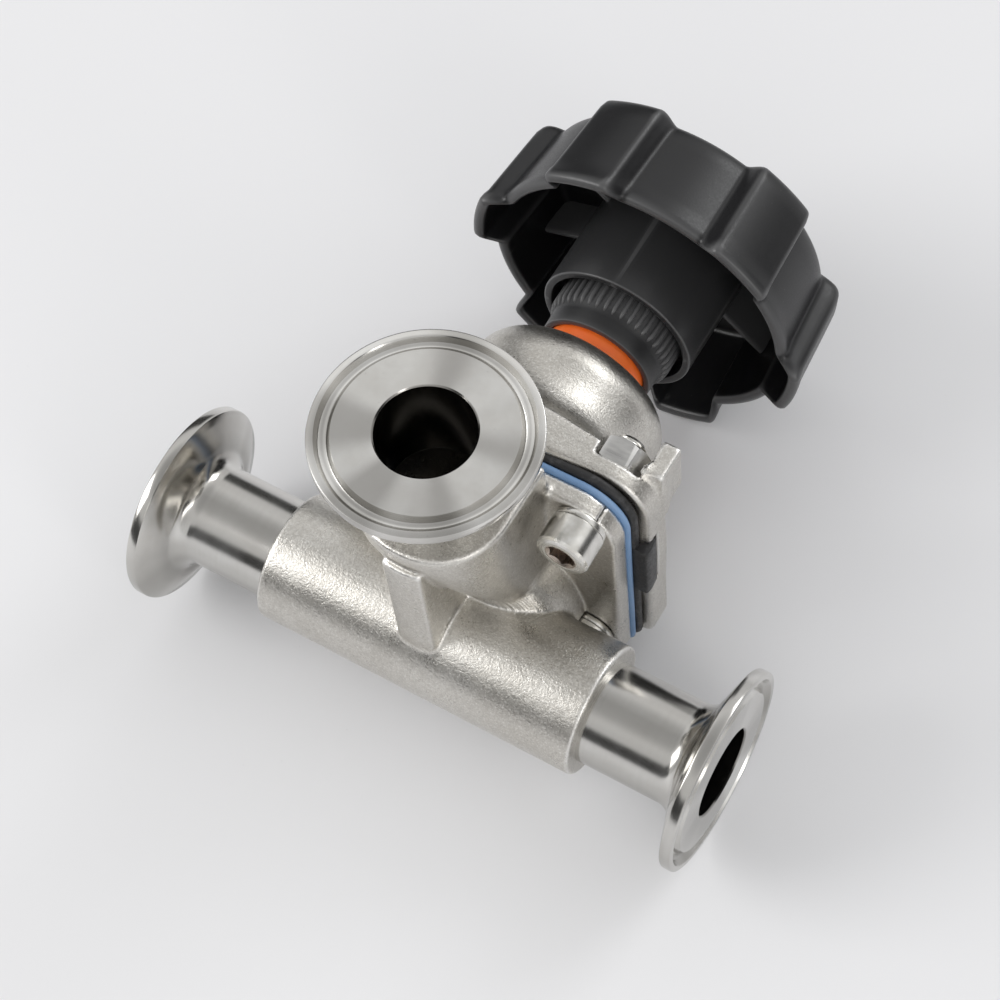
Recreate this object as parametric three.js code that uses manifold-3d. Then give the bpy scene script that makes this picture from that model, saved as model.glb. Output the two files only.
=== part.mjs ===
// Three-way sanitary diaphragm valve (weir type) with three clamp ferrules and a handwheel.
// Millimetres, +Z up. While it is being built the run pipe lies along X through the origin,
// the branch points along +Z and the stem points along +Y towards the handwheel.
// The last lines move the whole valve so that the middle of its lowest face is the origin.

import * as THREE from 'three';
import { mergeVertices } from 'three/addons/utils/BufferGeometryUtils.js';
import Module from 'manifold-3d';

const wasm = await Module();
wasm.setup();

// ---------------------------------------------------------------- clamp ferrules and pipe
const PIPE_R = 12.7;
const BORE_R = 11.05;
const FERRULE_R = 25.25;
const FERRULE_RIM = 2.85;
const FERRULE_CONE_R = 16.5;
const FERRULE_CONE_BACK = 6.0;
const FERRULE_FILLET_BACK = 10.2;
const GROOVE_INNER_R = 20.1;
const GROOVE_OUTER_R = 23.6;
const GROOVE_DEPTH = 1.6;
const RUN_HALF = 74.1;
const BLOCK_HALF = 42.6;
const BLOCK_R = 16.4;
const BLOCK_CHAMFER = 0.7;
const BRANCH_TOP = 84.1;
const BRANCH_Y = 6.6;

// ---------------------------------------------------------------- valve body
const STEM_Z = 17.0;
const BOSS_R = 17.8;
const BOSS_TOP = 58.0;
const BOSS_EDGE = 0.9;
const BELLY_ROUND = 5.5;
const BELLY_SPREAD = 12.0;
const RIB_HALF = 5.0;
const THROAT_R = 26.0;
const THROAT_FRONT = 4.8;
const THROAT_ROUND = 9.0;
const BODY_FLANGE_FRONT = 21.4;
const BODY_FLANGE_BACK = 26.4;
const BODY_FLANGE_X = 35.2;
const BODY_FLANGE_Z = 31.8;
const BODY_FLANGE_CORNER = 11.5;
const FLANGE_DROP = 3.4;
const LOWER_CORNER = 3.0;
const DISH_R = 19.0;
const WEIR_TOP = 21.8;
const WEIR_HALF = 1.1;
const PASSAGE_R = 8.6;
const BRANCH_BORE_END = 43.5;

// ---------------------------------------------------------------- diaphragm pair
const FACE_X = 35.8;
const FACE_Z = 32.3;
const FACE_BACK = 28.3;
const BACKING_X = 36.4;
const BACKING_Z = 32.6;
const BACKING_BACK = 31.0;
const DIAPHRAGM_CORNER = 11.6;
const DIAPHRAGM_RISE = 2.9;
const DIAPHRAGM_FREE_R = 18.4;
const LIFT = 7.5;
const TAB_X = 39.3;
const TAB_HALF = 9.9;
const TAB_BACK = 33.4;

// ---------------------------------------------------------------- bonnet
const BONNET_X = 38.5;
const BONNET_Z = 33.0;
const BONNET_CORNER = 12.0;
const BONNET_FLANGE_BACK = 39.0;
const DOME_R = 25.5;
const DOME_SHOULDER = 57.5;
const DOME_TOP = 67.4;
const MOUTH_R = 15.5;
const MOUTH_LIP = 0.2;
const MOUTH_FLOOR = 65.0;
const NECK_R = 11.3;
const NECK_TOP = 77.4;
const CAVITY_R = 19.8;
const CAVITY_TOP = 53.4;
const SLOT_R = 22.2;
const SLOT_HALF = 3.2;
const EAR_TOP = 46.6;
const EAR_INNER = 32.6;
const EAR_LOW = 31.8;
const EAR_HIGH = 47.2;
const NOTCH_HALF = 10.5;
const NOTCH_X = 36.9;
const NOTCH_BACK = 34.3;

// ---------------------------------------------------------------- fasteners
const SCREW_X = 27.0;
const SCREW_Z = 25.8;
const SHANK_R = 3.9;
const SHANK_HOLE_R = 4.4;
const SHANK_END = 44.6;
const HEAD_R = 6.5;
const HEAD_H = 8.0;
const SOCKET_R = 3.45;
const SOCKET_DEPTH = 4.2;
const LOCK_WASHER_R = 6.3;
const LOCK_WASHER_H = 1.5;
const LOCK_WASHER_SPLIT = 1.1;
const NUT_R = 7.3;
const NUT_H = 6.5;
const NUT_BORE_R = 4.1;
const NUT_SEAT = 35.4;
const NUT_POCKET_R = 8.2;
const HEAD_POCKET_R = 7.2;

// ---------------------------------------------------------------- stem, collar and handwheel
const SPINDLE_R = 4.9;
const SPINDLE_FOOT = 36.4;
const SPINDLE_FOOT_R = 5.6;
const SPINDLE_GROOVE_R = 4.0;
const SPINDLE_SHOULDER = 89.4;
const SPINDLE_SQUARE = 7.6;
const SPINDLE_TOP = 97.6;
const BUSH_R = 8.5;
const BUSH_BORE_R = 5.3;
const BUSH_LOW = 56.4;
const BUSH_TOP = 76.4;
const BUSH_FLANGE_R = 11.6;
const SEAL_R = 6.75;
const RING_R = 12.9;
const RING_LOW = 65.4;
const COLLAR_R = 14.8;
const COLLAR_BORE_R = 13.3;
const COLLAR_LOW = 73.0;
const COLLAR_SPLINE_LOW = 78.0;
const COLLAR_TOP = 89.2;
const COLLAR_CROWN = 2.6;
const SPLINE_ROOT_R = 15.6;
const SPLINE_TIP_R = 16.4;
const SPLINE_COUNT = 44;
const HUB_R = 20.2;
const HUB_BORE_R = 18.2;
const HUB_LOW = 83.2;
const WEB_LOW = 89.6;
const WEB_TOP = 97.2;
const INSERT_R = 8.0;
const WELL_R = 9.4;
const VENT_R = 1.4;
const WELL_WALL_R = 12.2;
const LOBE_COUNT = 6;
const LOBE_PHASE = 49.0;
const LOBE_R = 45.2;
const VALLEY_R = 40.2;
const LOBE_FLAT_HALF = 10.0;
const LOBE_FOOT_HALF = 15.5;
const WALL = 2.6;
const LOBE_RIM = 91.2;
const VALLEY_RIM = 94.0;
const WHEEL_DRAFT = 0.0023;
const CROWN_EDGE = 1.5;
const WHEEL_CROWN = 120.4;
const CROWN_THICK = 3.0;
const RIB_THICK = 1.6;
const RIB_LOW = 106.0;
const RIB_OUTER_R = 37.4;

// ---------------------------------------------------------------- facets
const FINE = 36;
const MEDIUM = 24;
const COARSE = 14;
const CORNER_STEPS = 5;

// ---------------------------------------------------------------- helpers
const RIGHT_ANGLE = Math.PI / 2;
const MERGE_DISTANCE = 1e-4;

function degrees(value) {
  return (value * Math.PI) / 180;
}

// Turns a closed three.js geometry into a solid that can be added, cut and intersected.
function solid(geometry) {
  const bare = geometry.clone();
  bare.deleteAttribute('normal');
  bare.deleteAttribute('uv');
  const merged = mergeVertices(bare, MERGE_DISTANCE);
  const position = merged.getAttribute('position');
  const vertProperties = new Float32Array(position.array);
  const index = merged.getIndex().array;
  const a = new THREE.Vector3();
  const b = new THREE.Vector3();
  const c = new THREE.Vector3();
  const kept = [];
  let volume = 0;
  for (let i = 0; i < index.length; i += 3) {
    const [p, q, r] = [index[i], index[i + 1], index[i + 2]];
    if (p === q || q === r || r === p) continue;
    a.fromBufferAttribute(position, p);
    b.fromBufferAttribute(position, q);
    c.fromBufferAttribute(position, r);
    volume += a.dot(b.clone().cross(c));
    kept.push(p, q, r);
  }
  if (volume < 0) {
    for (let i = 0; i < kept.length; i += 3) {
      const swap = kept[i];
      kept[i] = kept[i + 1];
      kept[i + 1] = swap;
    }
  }
  const triVerts = new Uint32Array(kept);
  return new wasm.Manifold(new wasm.Mesh({ numProp: 3, vertProperties, triVerts }));
}

function geometryOf(body) {
  const mesh = body.getMesh();
  const geometry = new THREE.BufferGeometry();
  const positions = new Float32Array(mesh.vertProperties.length);
  positions.set(mesh.vertProperties);
  geometry.setAttribute('position', new THREE.BufferAttribute(positions, 3));
  geometry.setIndex(Array.from(mesh.triVerts));
  geometry.computeVertexNormals();
  return geometry;
}

function unite(bodies) {
  return bodies.reduce((sum, next) => sum.add(next));
}

function cut(body, tools) {
  return tools.reduce((left, tool) => left.subtract(tool), body);
}

// A profile is a list of [radius, height] points that closes on itself.
function lathe(profile, facets) {
  const closed = [...profile, profile[0]];
  return new THREE.LatheGeometry(closed.map(([r, h]) => new THREE.Vector2(r, h)), facets);
}

// Turned about the stem axis; heights are Y values.
function aboutStem(profile, facets) {
  return solid(lathe(profile, facets).translate(0, 0, STEM_Z));
}

// Turned about an axis parallel to Y through [x, z].
function aboutY(profile, facets, x, z) {
  return solid(lathe(profile, facets).translate(x, 0, z));
}

// Turned about the run axis; heights are X values.
function aboutX(profile, facets) {
  return solid(lathe(profile, facets).rotateZ(-RIGHT_ANGLE));
}

// Turned about the branch axis; heights are Z values.
function aboutBranch(profile, facets) {
  return solid(lathe(profile, facets).rotateX(RIGHT_ANGLE).translate(0, BRANCH_Y, 0));
}

function disc(radius, low, high) {
  return [[0, low], [radius, low], [radius, high], [0, high]];
}

function tube(inner, outer, low, high) {
  return [[inner, low], [outer, low], [outer, high], [inner, high]];
}

function box(x0, x1, y0, y1, z0, z1) {
  const geometry = new THREE.BoxGeometry(x1 - x0, y1 - y0, z1 - z0);
  geometry.translate((x0 + x1) / 2, (y0 + y1) / 2, (z0 + z1) / 2);
  return solid(geometry);
}

// Points on an arc, from one angle to another in degrees, both ends included.
function arc(cx, cy, radius, from, to, steps) {
  const points = [];
  for (let i = 0; i <= steps; i += 1) {
    const angle = degrees(from + ((to - from) * i) / steps);
    points.push([cx + radius * Math.cos(angle), cy + radius * Math.sin(angle)]);
  }
  return points;
}

// The bolted flange seen along the stem: well rounded above, longer and nearly square below.
function flangeOutline(halfX, halfZ, corner, steps) {
  const x = halfX - corner;
  const z = halfZ - corner;
  const lowerX = halfX - LOWER_CORNER;
  const lowerZ = halfZ + FLANGE_DROP - LOWER_CORNER;
  return [
    ...arc(x, z, corner, 0, 90, steps),
    ...arc(-x, z, corner, 90, 180, steps),
    ...arc(-lowerX, -lowerZ, LOWER_CORNER, 180, 270, steps),
    ...arc(lowerX, -lowerZ, LOWER_CORNER, 270, 360, steps),
  ];
}

function shapeOf(points) {
  return new THREE.Shape(points.map(([u, v]) => new THREE.Vector2(u, v)));
}

// A flat outline in X and Z, centred on the stem axis and raised from Y = low to Y = high.
function plateOnStem(points, low, high, edge) {
  const geometry = new THREE.ExtrudeGeometry(shapeOf(points), {
    depth: high - low - 2 * edge,
    bevelEnabled: edge > 0,
    bevelThickness: edge,
    bevelSize: edge,
    bevelOffset: -edge,
    bevelSegments: 2,
    steps: 1,
  });
  geometry.rotateX(RIGHT_ANGLE);
  geometry.translate(0, high - edge, STEM_Z);
  return solid(geometry);
}

// A round-ended bar from one point to another, used for the flow passages.
function passage(from, to, radius) {
  const length = from.distanceTo(to);
  const capsule = new THREE.CapsuleGeometry(radius, length, 5, COARSE);
  const turn = new THREE.Quaternion();
  turn.setFromUnitVectors(new THREE.Vector3(0, 1, 0), to.clone().sub(from).normalize());
  capsule.applyQuaternion(turn);
  const middle = from.clone().add(to).multiplyScalar(0.5);
  capsule.translate(middle.x, middle.y, middle.z);
  return solid(capsule);
}

const screwPlaces = [
  [SCREW_X, STEM_Z + SCREW_Z],
  [-SCREW_X, STEM_Z + SCREW_Z],
  [-SCREW_X, STEM_Z - SCREW_Z],
  [SCREW_X, STEM_Z - SCREW_Z],
];

// ---------------------------------------------------------------- looks
const valveParts = new THREE.Group();
valveParts.name = 'diaphragm_valve';

const blastedSteel = { color: 0xb9b6b0, metalness: 0.9, roughness: 0.45 };
const polishedSteel = { color: 0xd3d3d1, metalness: 1.0, roughness: 0.12 };
const screwSteel = { color: 0xc3c2be, metalness: 0.95, roughness: 0.3 };
const brass = { color: 0xb99a52, metalness: 0.9, roughness: 0.35 };
const bluePolymer = { color: 0x4f7fb5, metalness: 0.0, roughness: 0.5 };
const blackRubber = { color: 0x1b1b1c, metalness: 0.0, roughness: 0.8 };
const orangePlastic = { color: 0xff5a1e, metalness: 0.0, roughness: 0.45 };
const blackPlastic = { color: 0x2e2e31, metalness: 0.0, roughness: 0.5 };

function add(name, body, look) {
  const mesh = new THREE.Mesh(geometryOf(body), new THREE.MeshStandardMaterial(look));
  mesh.name = name;
  valveParts.add(mesh);
}

// ---------------------------------------------------------------- ferrules
// Distances are measured back from the sealing face, which is at height 0.
function ferruleProfile(length) {
  const lip = 0.35;
  const grooveSlope = 0.7;
  const fillet = [];
  const steps = 3;
  for (let i = 0; i <= steps; i += 1) {
    const t = i / steps;
    const radius = PIPE_R + (FERRULE_CONE_R - PIPE_R) * (1 - t) * (1 - t);
    const back = FERRULE_CONE_BACK + (FERRULE_FILLET_BACK - FERRULE_CONE_BACK) * (2 * t - t * t) ** 1.3;
    fillet.push([radius, -back]);
  }
  return [
    [BORE_R, -length],
    [BORE_R, 0],
    [GROOVE_INNER_R, 0],
    [GROOVE_INNER_R + grooveSlope, -GROOVE_DEPTH],
    [GROOVE_OUTER_R - grooveSlope, -GROOVE_DEPTH],
    [GROOVE_OUTER_R, 0],
    [FERRULE_R - lip, 0],
    [FERRULE_R, -lip],
    [FERRULE_R, -FERRULE_RIM],
    ...fillet,
    [PIPE_R, -length],
  ];
}

const runPipe = RUN_HALF - BLOCK_HALF;
const rightFerrule = lathe(ferruleProfile(runPipe), FINE).rotateZ(-RIGHT_ANGLE);
add('run_ferrule_right', solid(rightFerrule.clone().translate(RUN_HALF, 0, 0)), polishedSteel);
const leftFerrule = rightFerrule.clone().rotateY(Math.PI).translate(-RUN_HALF, 0, 0);
add('run_ferrule_left', solid(leftFerrule), polishedSteel);
const branchFerrule = lathe(ferruleProfile(BRANCH_TOP - BOSS_TOP), FINE).rotateX(RIGHT_ANGLE);
add('branch_ferrule', solid(branchFerrule.translate(0, BRANCH_Y, BRANCH_TOP)), polishedSteel);

// ---------------------------------------------------------------- valve body
function valveBody() {
  const c = BLOCK_CHAMFER;
  const block = aboutX([
    [0, -BLOCK_HALF],
    [BLOCK_R - c, -BLOCK_HALF],
    [BLOCK_R, -BLOCK_HALF + c],
    [BLOCK_R, BLOCK_HALF - c],
    [BLOCK_R - c, BLOCK_HALF],
    [0, BLOCK_HALF],
  ], FINE);

  // The branch boss is a U seen from above: half round in front, straight to the flange.
  const flangeOverlap = BODY_FLANGE_FRONT + 1.0;
  const bossOutline = [
    ...arc(0, BRANCH_Y, BOSS_R, 180, 360, 14),
    [BOSS_R, flangeOverlap],
    [-BOSS_R, flangeOverlap],
  ];
  const bossDepth = BOSS_TOP;
  const bossGeometry = new THREE.ExtrudeGeometry(shapeOf(bossOutline), {
    depth: bossDepth - BOSS_EDGE,
    bevelEnabled: true,
    bevelThickness: BOSS_EDGE,
    bevelSize: BOSS_EDGE,
    bevelOffset: -BOSS_EDGE,
    bevelSegments: 1,
    steps: 1,
  });
  const boss = solid(bossGeometry);

  // Seen from the side the bowl runs from under the boss down and back to the flange.
  const bellyTop = BOSS_TOP + 4 * BELLY_ROUND;
  const bellyBack = BODY_FLANGE_FRONT + 2 * BELLY_ROUND;
  const bellyOutline = [
    [bellyBack, bellyTop],
    [-20, bellyTop],
    [-20, 62],
    [-9.4, 46.5],
    [-2, 31.3],
    [6, 16.5],
    [12, 8],
    [18, 0.5],
    [24, -5],
    [bellyBack, -9],
  ];
  const bellyGeometry = new THREE.ExtrudeGeometry(shapeOf(bellyOutline), {
    depth: 2 * (BOSS_R - BELLY_SPREAD),
    bevelEnabled: true,
    bevelThickness: BELLY_SPREAD,
    bevelSize: BELLY_ROUND,
    bevelOffset: -BELLY_ROUND,
    bevelSegments: 5,
    steps: 1,
  });
  // The outline was drawn as [y, z]; this turn carries it there and the depth to X.
  bellyGeometry.applyMatrix4(new THREE.Matrix4().set(
    0, 0, 1, -(BOSS_R - BELLY_SPREAD),
    1, 0, 0, 0,
    0, 1, 0, 0,
    0, 0, 0, 1,
  ));
  const bowl = solid(bellyGeometry).intersect(boss);

  const rib = boss.intersect(box(-RIB_HALF, RIB_HALF, -20, BRANCH_Y, 4, 50));

  const throat = aboutY([
    [0, THROAT_FRONT],
    [THROAT_R - THROAT_ROUND, THROAT_FRONT],
    ...arc(THROAT_R - THROAT_ROUND, THROAT_FRONT + THROAT_ROUND, THROAT_ROUND, -72, 0, 4),
    [THROAT_R, BODY_FLANGE_FRONT + 1],
    [0, BODY_FLANGE_FRONT + 1],
  ], FINE, 0, 0).intersect(box(-40, 40, 0, 40, STEM_Z - BODY_FLANGE_Z + 1.5, 40));

  const flange = plateOnStem(
    flangeOutline(BODY_FLANGE_X, BODY_FLANGE_Z, BODY_FLANGE_CORNER, CORNER_STEPS),
    BODY_FLANGE_FRONT,
    BODY_FLANGE_BACK,
    0.8,
  );

  // Flow passages: straight run, branch bore, and one way each side of the weir.
  const runBore = aboutX(disc(BORE_R, -BLOCK_HALF - 1, BLOCK_HALF + 1), FINE);
  const branchBore = aboutBranch(disc(BORE_R, BRANCH_BORE_END, BOSS_TOP + 1), FINE);
  const weirSide = STEM_Z - WEIR_HALF - PASSAGE_R;
  const inlet = passage(
    new THREE.Vector3(0, 2, 0),
    new THREE.Vector3(0, 26, weirSide),
    PASSAGE_R,
  );
  const outlet = passage(
    new THREE.Vector3(0, BRANCH_Y, BRANCH_BORE_END - 3),
    new THREE.Vector3(0, 26, 2 * STEM_Z - weirSide),
    PASSAGE_R,
  );
  const dish = aboutStem([
    [0, WEIR_TOP],
    [DISH_R - 5, WEIR_TOP],
    [DISH_R, BODY_FLANGE_BACK],
    [DISH_R, BODY_FLANGE_BACK + 3],
    [0, BODY_FLANGE_BACK + 3],
  ], MEDIUM);

  const tools = [runBore, branchBore, inlet, outlet, dish];
  for (const [x, z] of screwPlaces) {
    tools.push(aboutY(disc(SHANK_HOLE_R, 0, BODY_FLANGE_BACK + 1), COARSE, x, z));
    const headLow = BODY_FLANGE_FRONT - LOCK_WASHER_H - HEAD_H - 0.8;
    tools.push(aboutY(disc(HEAD_POCKET_R, headLow, BODY_FLANGE_FRONT), COARSE, x, z));
  }
  return cut(unite([block, bowl, rib, throat, flange]), tools);
}
add('valve_body', valveBody(), blastedSteel);

// ---------------------------------------------------------------- diaphragm pair
// The middle of each sheet is dished towards the bonnet, as it stands when the valve is open.
function dishedSheet(low, high, halfX, halfZ) {
  const steps = 6;
  const under = [];
  const over = [];
  for (let i = 0; i <= steps; i += 1) {
    const r = (DIAPHRAGM_FREE_R * i) / steps;
    const rise = DIAPHRAGM_RISE * 0.5 * (1 + Math.cos(Math.PI * (r / DIAPHRAGM_FREE_R)));
    under.push([r, low + rise]);
    over.unshift([r, high + rise]);
  }
  const rim = DIAPHRAGM_FREE_R + 0.4;
  const middle = aboutStem([...under, [rim, low], [rim, high], ...over], MEDIUM);
  const outline = flangeOutline(halfX, halfZ, DIAPHRAGM_CORNER, CORNER_STEPS);
  const plate = plateOnStem(outline, low, high, 0);
  const hole = aboutStem(disc(DIAPHRAGM_FREE_R, low - 1, high + 1), MEDIUM);
  return plate.subtract(hole).add(middle);
}

const sheetHoles = screwPlaces.map(([x, z]) => aboutY(disc(SHANK_HOLE_R, 20, 40), COARSE, x, z));

const faceSheet = dishedSheet(BODY_FLANGE_BACK, FACE_BACK, FACE_X, FACE_Z);
add('diaphragm_face', cut(faceSheet, sheetHoles), bluePolymer);

const STUD_HEAD_R = 5.0;
const STUD_HEAD_H = 1.1;
const STUD_R = 2.5;
const studSeat = FACE_BACK + DIAPHRAGM_RISE + 0.1;
const sheetMiddle = BACKING_BACK + DIAPHRAGM_RISE;

function backingSheet() {
  const sheet = dishedSheet(FACE_BACK, BACKING_BACK, BACKING_X, BACKING_Z);
  const gap = 0.4;
  const tabRoot = box(
    BACKING_X - 3, TAB_X, FACE_BACK, BACKING_BACK, STEM_Z - TAB_HALF, STEM_Z + TAB_HALF);
  const tabLip = box(
    NOTCH_X + gap, TAB_X, FACE_BACK, TAB_BACK, STEM_Z - TAB_HALF, STEM_Z + TAB_HALF);
  const recessEnd = studSeat + STUD_HEAD_H + 0.1;
  const headRecess = aboutStem(disc(STUD_HEAD_R + 0.3, FACE_BACK - 1, recessEnd), COARSE);
  const shankHole = aboutStem(disc(STUD_R + 0.2, FACE_BACK, sheetMiddle + 2), COARSE);
  return cut(unite([sheet, tabRoot, tabLip]), [...sheetHoles, headRecess, shankHole]);
}
add('diaphragm_backing', backingSheet(), blackRubber);

const stud = unite([
  aboutStem(disc(STUD_HEAD_R, studSeat, studSeat + STUD_HEAD_H), COARSE),
  aboutStem(disc(STUD_R, studSeat, SPINDLE_FOOT - 0.9), COARSE),
]);
add('diaphragm_stud', stud, screwSteel);

// ---------------------------------------------------------------- compressor and its pins
const COMPRESSOR_R = 14.5;
const COMPRESSOR_LOW = sheetMiddle + 0.3;
const COMPRESSOR_TOP = 49.2;
const COMPRESSOR_BORE_R = 6.1;
const FIN_R = 21.6;
const FIN_HALF = 2.8;
const FIN_LOW = BACKING_BACK + LIFT + 0.5;
const PIN_R = 1.0;
const PIN_X = 5.3;
const PIN_Y = 41.2;
const PIN_HALF = 12.0;

function pinBody(x, radius, half) {
  const geometry = lathe(disc(radius, -half, half), 16).rotateX(RIGHT_ANGLE);
  return solid(geometry.translate(x, PIN_Y, STEM_Z));
}

function compressor() {
  const core = aboutStem([
    [0, COMPRESSOR_LOW],
    [9.5, COMPRESSOR_LOW],
    [COMPRESSOR_R, COMPRESSOR_LOW + 2.4],
    [COMPRESSOR_R, COMPRESSOR_LOW + 8],
    [11, COMPRESSOR_TOP],
    [0, COMPRESSOR_TOP],
  ], MEDIUM);
  const fins = box(
    -FIN_R, FIN_R, FIN_LOW, COMPRESSOR_TOP - 3, STEM_Z - FIN_HALF, STEM_Z + FIN_HALF);
  const tools = [
    aboutStem(disc(COMPRESSOR_BORE_R, SPINDLE_FOOT - 0.5, COMPRESSOR_TOP + 1), MEDIUM),
    aboutStem(disc(STUD_R + 0.2, COMPRESSOR_LOW - 1, SPINDLE_FOOT), COARSE),
    pinBody(PIN_X, PIN_R + 0.15, COMPRESSOR_R + 2),
    pinBody(-PIN_X, PIN_R + 0.15, COMPRESSOR_R + 2),
  ];
  return cut(core.add(fins), tools);
}
add('compressor', compressor(), blastedSteel);
add('compressor_pin_right', pinBody(PIN_X, PIN_R, PIN_HALF), screwSteel);
add('compressor_pin_left', pinBody(-PIN_X, PIN_R, PIN_HALF), screwSteel);

// ---------------------------------------------------------------- bonnet
function bonnet() {
  const flange = plateOnStem(
    flangeOutline(BONNET_X, BONNET_Z, BONNET_CORNER, CORNER_STEPS),
    BACKING_BACK,
    BONNET_FLANGE_BACK,
    0.6,
  );
  const shoulder = [];
  const steps = 6;
  for (let i = 0; i <= steps; i += 1) {
    const angle = degrees((90 * i) / steps);
    const r = MOUTH_R + MOUTH_LIP + (DOME_R - MOUTH_R - MOUTH_LIP) * Math.cos(angle);
    shoulder.push([r, DOME_SHOULDER + (DOME_TOP - DOME_SHOULDER) * Math.sin(angle)]);
  }
  const dome = aboutStem([
    [0, BACKING_BACK + 1],
    [DOME_R, BACKING_BACK + 1],
    ...shoulder,
    [MOUTH_R, DOME_TOP],
    [MOUTH_R, MOUTH_FLOOR],
    [NECK_R, MOUTH_FLOOR],
    [NECK_R, NECK_TOP],
    [0, NECK_TOP],
  ], FINE);
  const ear = box(EAR_INNER, BONNET_X, BONNET_FLANGE_BACK - 1, EAR_TOP, EAR_LOW, EAR_HIGH);
  const cavity = aboutStem([
    [0, BACKING_BACK - 1],
    [CAVITY_R, BACKING_BACK - 1],
    [CAVITY_R, CAVITY_TOP - 2],
    [CAVITY_R - 2, CAVITY_TOP],
    [0, CAVITY_TOP],
  ], MEDIUM);
  const slots = box(
    -SLOT_R, SLOT_R, BACKING_BACK - 1, CAVITY_TOP - 2, STEM_Z - SLOT_HALF, STEM_Z + SLOT_HALF);
  const bushSeat = aboutStem([
    [0, CAVITY_TOP - 1],
    [BUSH_FLANGE_R, CAVITY_TOP - 1],
    [BUSH_FLANGE_R, BUSH_LOW],
    [BUSH_R, BUSH_LOW],
    [BUSH_R, NECK_TOP + 1],
    [0, NECK_TOP + 1],
  ], MEDIUM);
  const notch = box(
    NOTCH_X, BONNET_X + 1, BACKING_BACK - 1, NOTCH_BACK, STEM_Z - NOTCH_HALF, STEM_Z + NOTCH_HALF);
  const tools = [cavity, slots, bushSeat, notch];
  for (const [x, z] of screwPlaces) {
    tools.push(aboutY(disc(SHANK_HOLE_R, BACKING_BACK - 1, NUT_SEAT + 1), COARSE, x, z));
    tools.push(aboutY(disc(NUT_POCKET_R, NUT_SEAT, EAR_TOP + 6), COARSE, x, z));
  }
  return cut(unite([flange, dome, ear]), tools);
}
add('bonnet', bonnet(), blastedSteel);

// ---------------------------------------------------------------- bush, seal and indicator ring
const bush = cut(
  unite([
    aboutStem(disc(BUSH_R, BUSH_LOW - 0.5, BUSH_TOP), MEDIUM),
    aboutStem(disc(BUSH_FLANGE_R - 0.2, CAVITY_TOP + 0.2, BUSH_LOW), MEDIUM),
  ]),
  [
    aboutStem(disc(BUSH_BORE_R, CAVITY_TOP - 2, BUSH_TOP + 2), COARSE),
    aboutStem(disc(SEAL_R + 0.1, BUSH_TOP - 5, BUSH_TOP - 2), COARSE),
  ],
);
add('spindle_bush', bush, brass);

const sealMiddle = (BUSH_BORE_R + SEAL_R) / 2 + 0.05;
const sealThick = (SEAL_R - BUSH_BORE_R) / 2 + 0.05;
const sealProfile = arc(sealMiddle, BUSH_TOP - 3.5, sealThick, 0, 315, 7);
add('spindle_seal', aboutStem(sealProfile, COARSE), blackRubber);

const indicator = aboutStem([
  [NECK_R, RING_LOW],
  [RING_R, RING_LOW],
  [RING_R, NECK_TOP + 0.6],
  [RING_R - 0.6, NECK_TOP + 1.2],
  [NECK_R, NECK_TOP + 1.2],
], FINE);
add('indicator_ring', indicator, orangePlastic);

// ---------------------------------------------------------------- screws, washers and nuts
function hexagon(radius) {
  const points = [];
  for (let i = 0; i < 6; i += 1) {
    const angle = degrees(60 * i + 30);
    points.push([radius * Math.cos(angle), radius * Math.sin(angle)]);
  }
  return points;
}

function hexagonBody(radius, low, high, x, z) {
  const geometry = new THREE.ExtrudeGeometry(shapeOf(hexagon(radius)), {
    depth: high - low,
    bevelEnabled: false,
    steps: 1,
  });
  return solid(geometry.rotateX(RIGHT_ANGLE).translate(x, high, z));
}

screwPlaces.forEach(([x, z], i) => {
  const number = i + 1;
  const headHigh = BODY_FLANGE_FRONT - LOCK_WASHER_H;
  const headLow = headHigh - HEAD_H;
  const rounding = 0.7;
  const turned = aboutY([
    [0, headLow],
    [HEAD_R - rounding, headLow],
    [HEAD_R, headLow + rounding],
    [HEAD_R, headHigh],
    [SHANK_R, headHigh],
    [SHANK_R, SHANK_END - rounding],
    [SHANK_R - rounding, SHANK_END],
    [0, SHANK_END],
  ], COARSE, x, z);
  const socket = hexagonBody(SOCKET_R, headLow - 1, headLow + SOCKET_DEPTH, x, z);
  add(`cap_screw_${number}`, turned.subtract(socket), screwSteel);

  const washer = aboutY(
    tube(SHANK_R + 0.35, LOCK_WASHER_R, headHigh, BODY_FLANGE_FRONT), COARSE, x, z);
  const inward = -Math.sign(x);
  const splitStart = x + inward * (SHANK_R - 1);
  const splitEnd = x + inward * (LOCK_WASHER_R + 1);
  const split = box(
    Math.min(splitStart, splitEnd),
    Math.max(splitStart, splitEnd),
    headHigh - 1,
    BODY_FLANGE_FRONT + 1,
    z - LOCK_WASHER_SPLIT / 2,
    z + LOCK_WASHER_SPLIT / 2,
  );
  add(`lock_washer_${number}`, washer.subtract(split), screwSteel);

  const nutHigh = NUT_SEAT + NUT_H;
  const chamfer = aboutY([
    [0, NUT_SEAT - 1],
    [NUT_R + 1, NUT_SEAT - 1],
    [NUT_R + 1, nutHigh - 1.1],
    [NUT_R - 0.7, nutHigh],
    [0, nutHigh],
  ], COARSE, x, z);
  const bore = aboutY(disc(NUT_BORE_R, NUT_SEAT - 1, nutHigh + 1), COARSE, x, z);
  const nut = hexagonBody(NUT_R, NUT_SEAT, nutHigh, x, z).intersect(chamfer).subtract(bore);
  add(`hex_nut_${number}`, nut, screwSteel);
});

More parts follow.
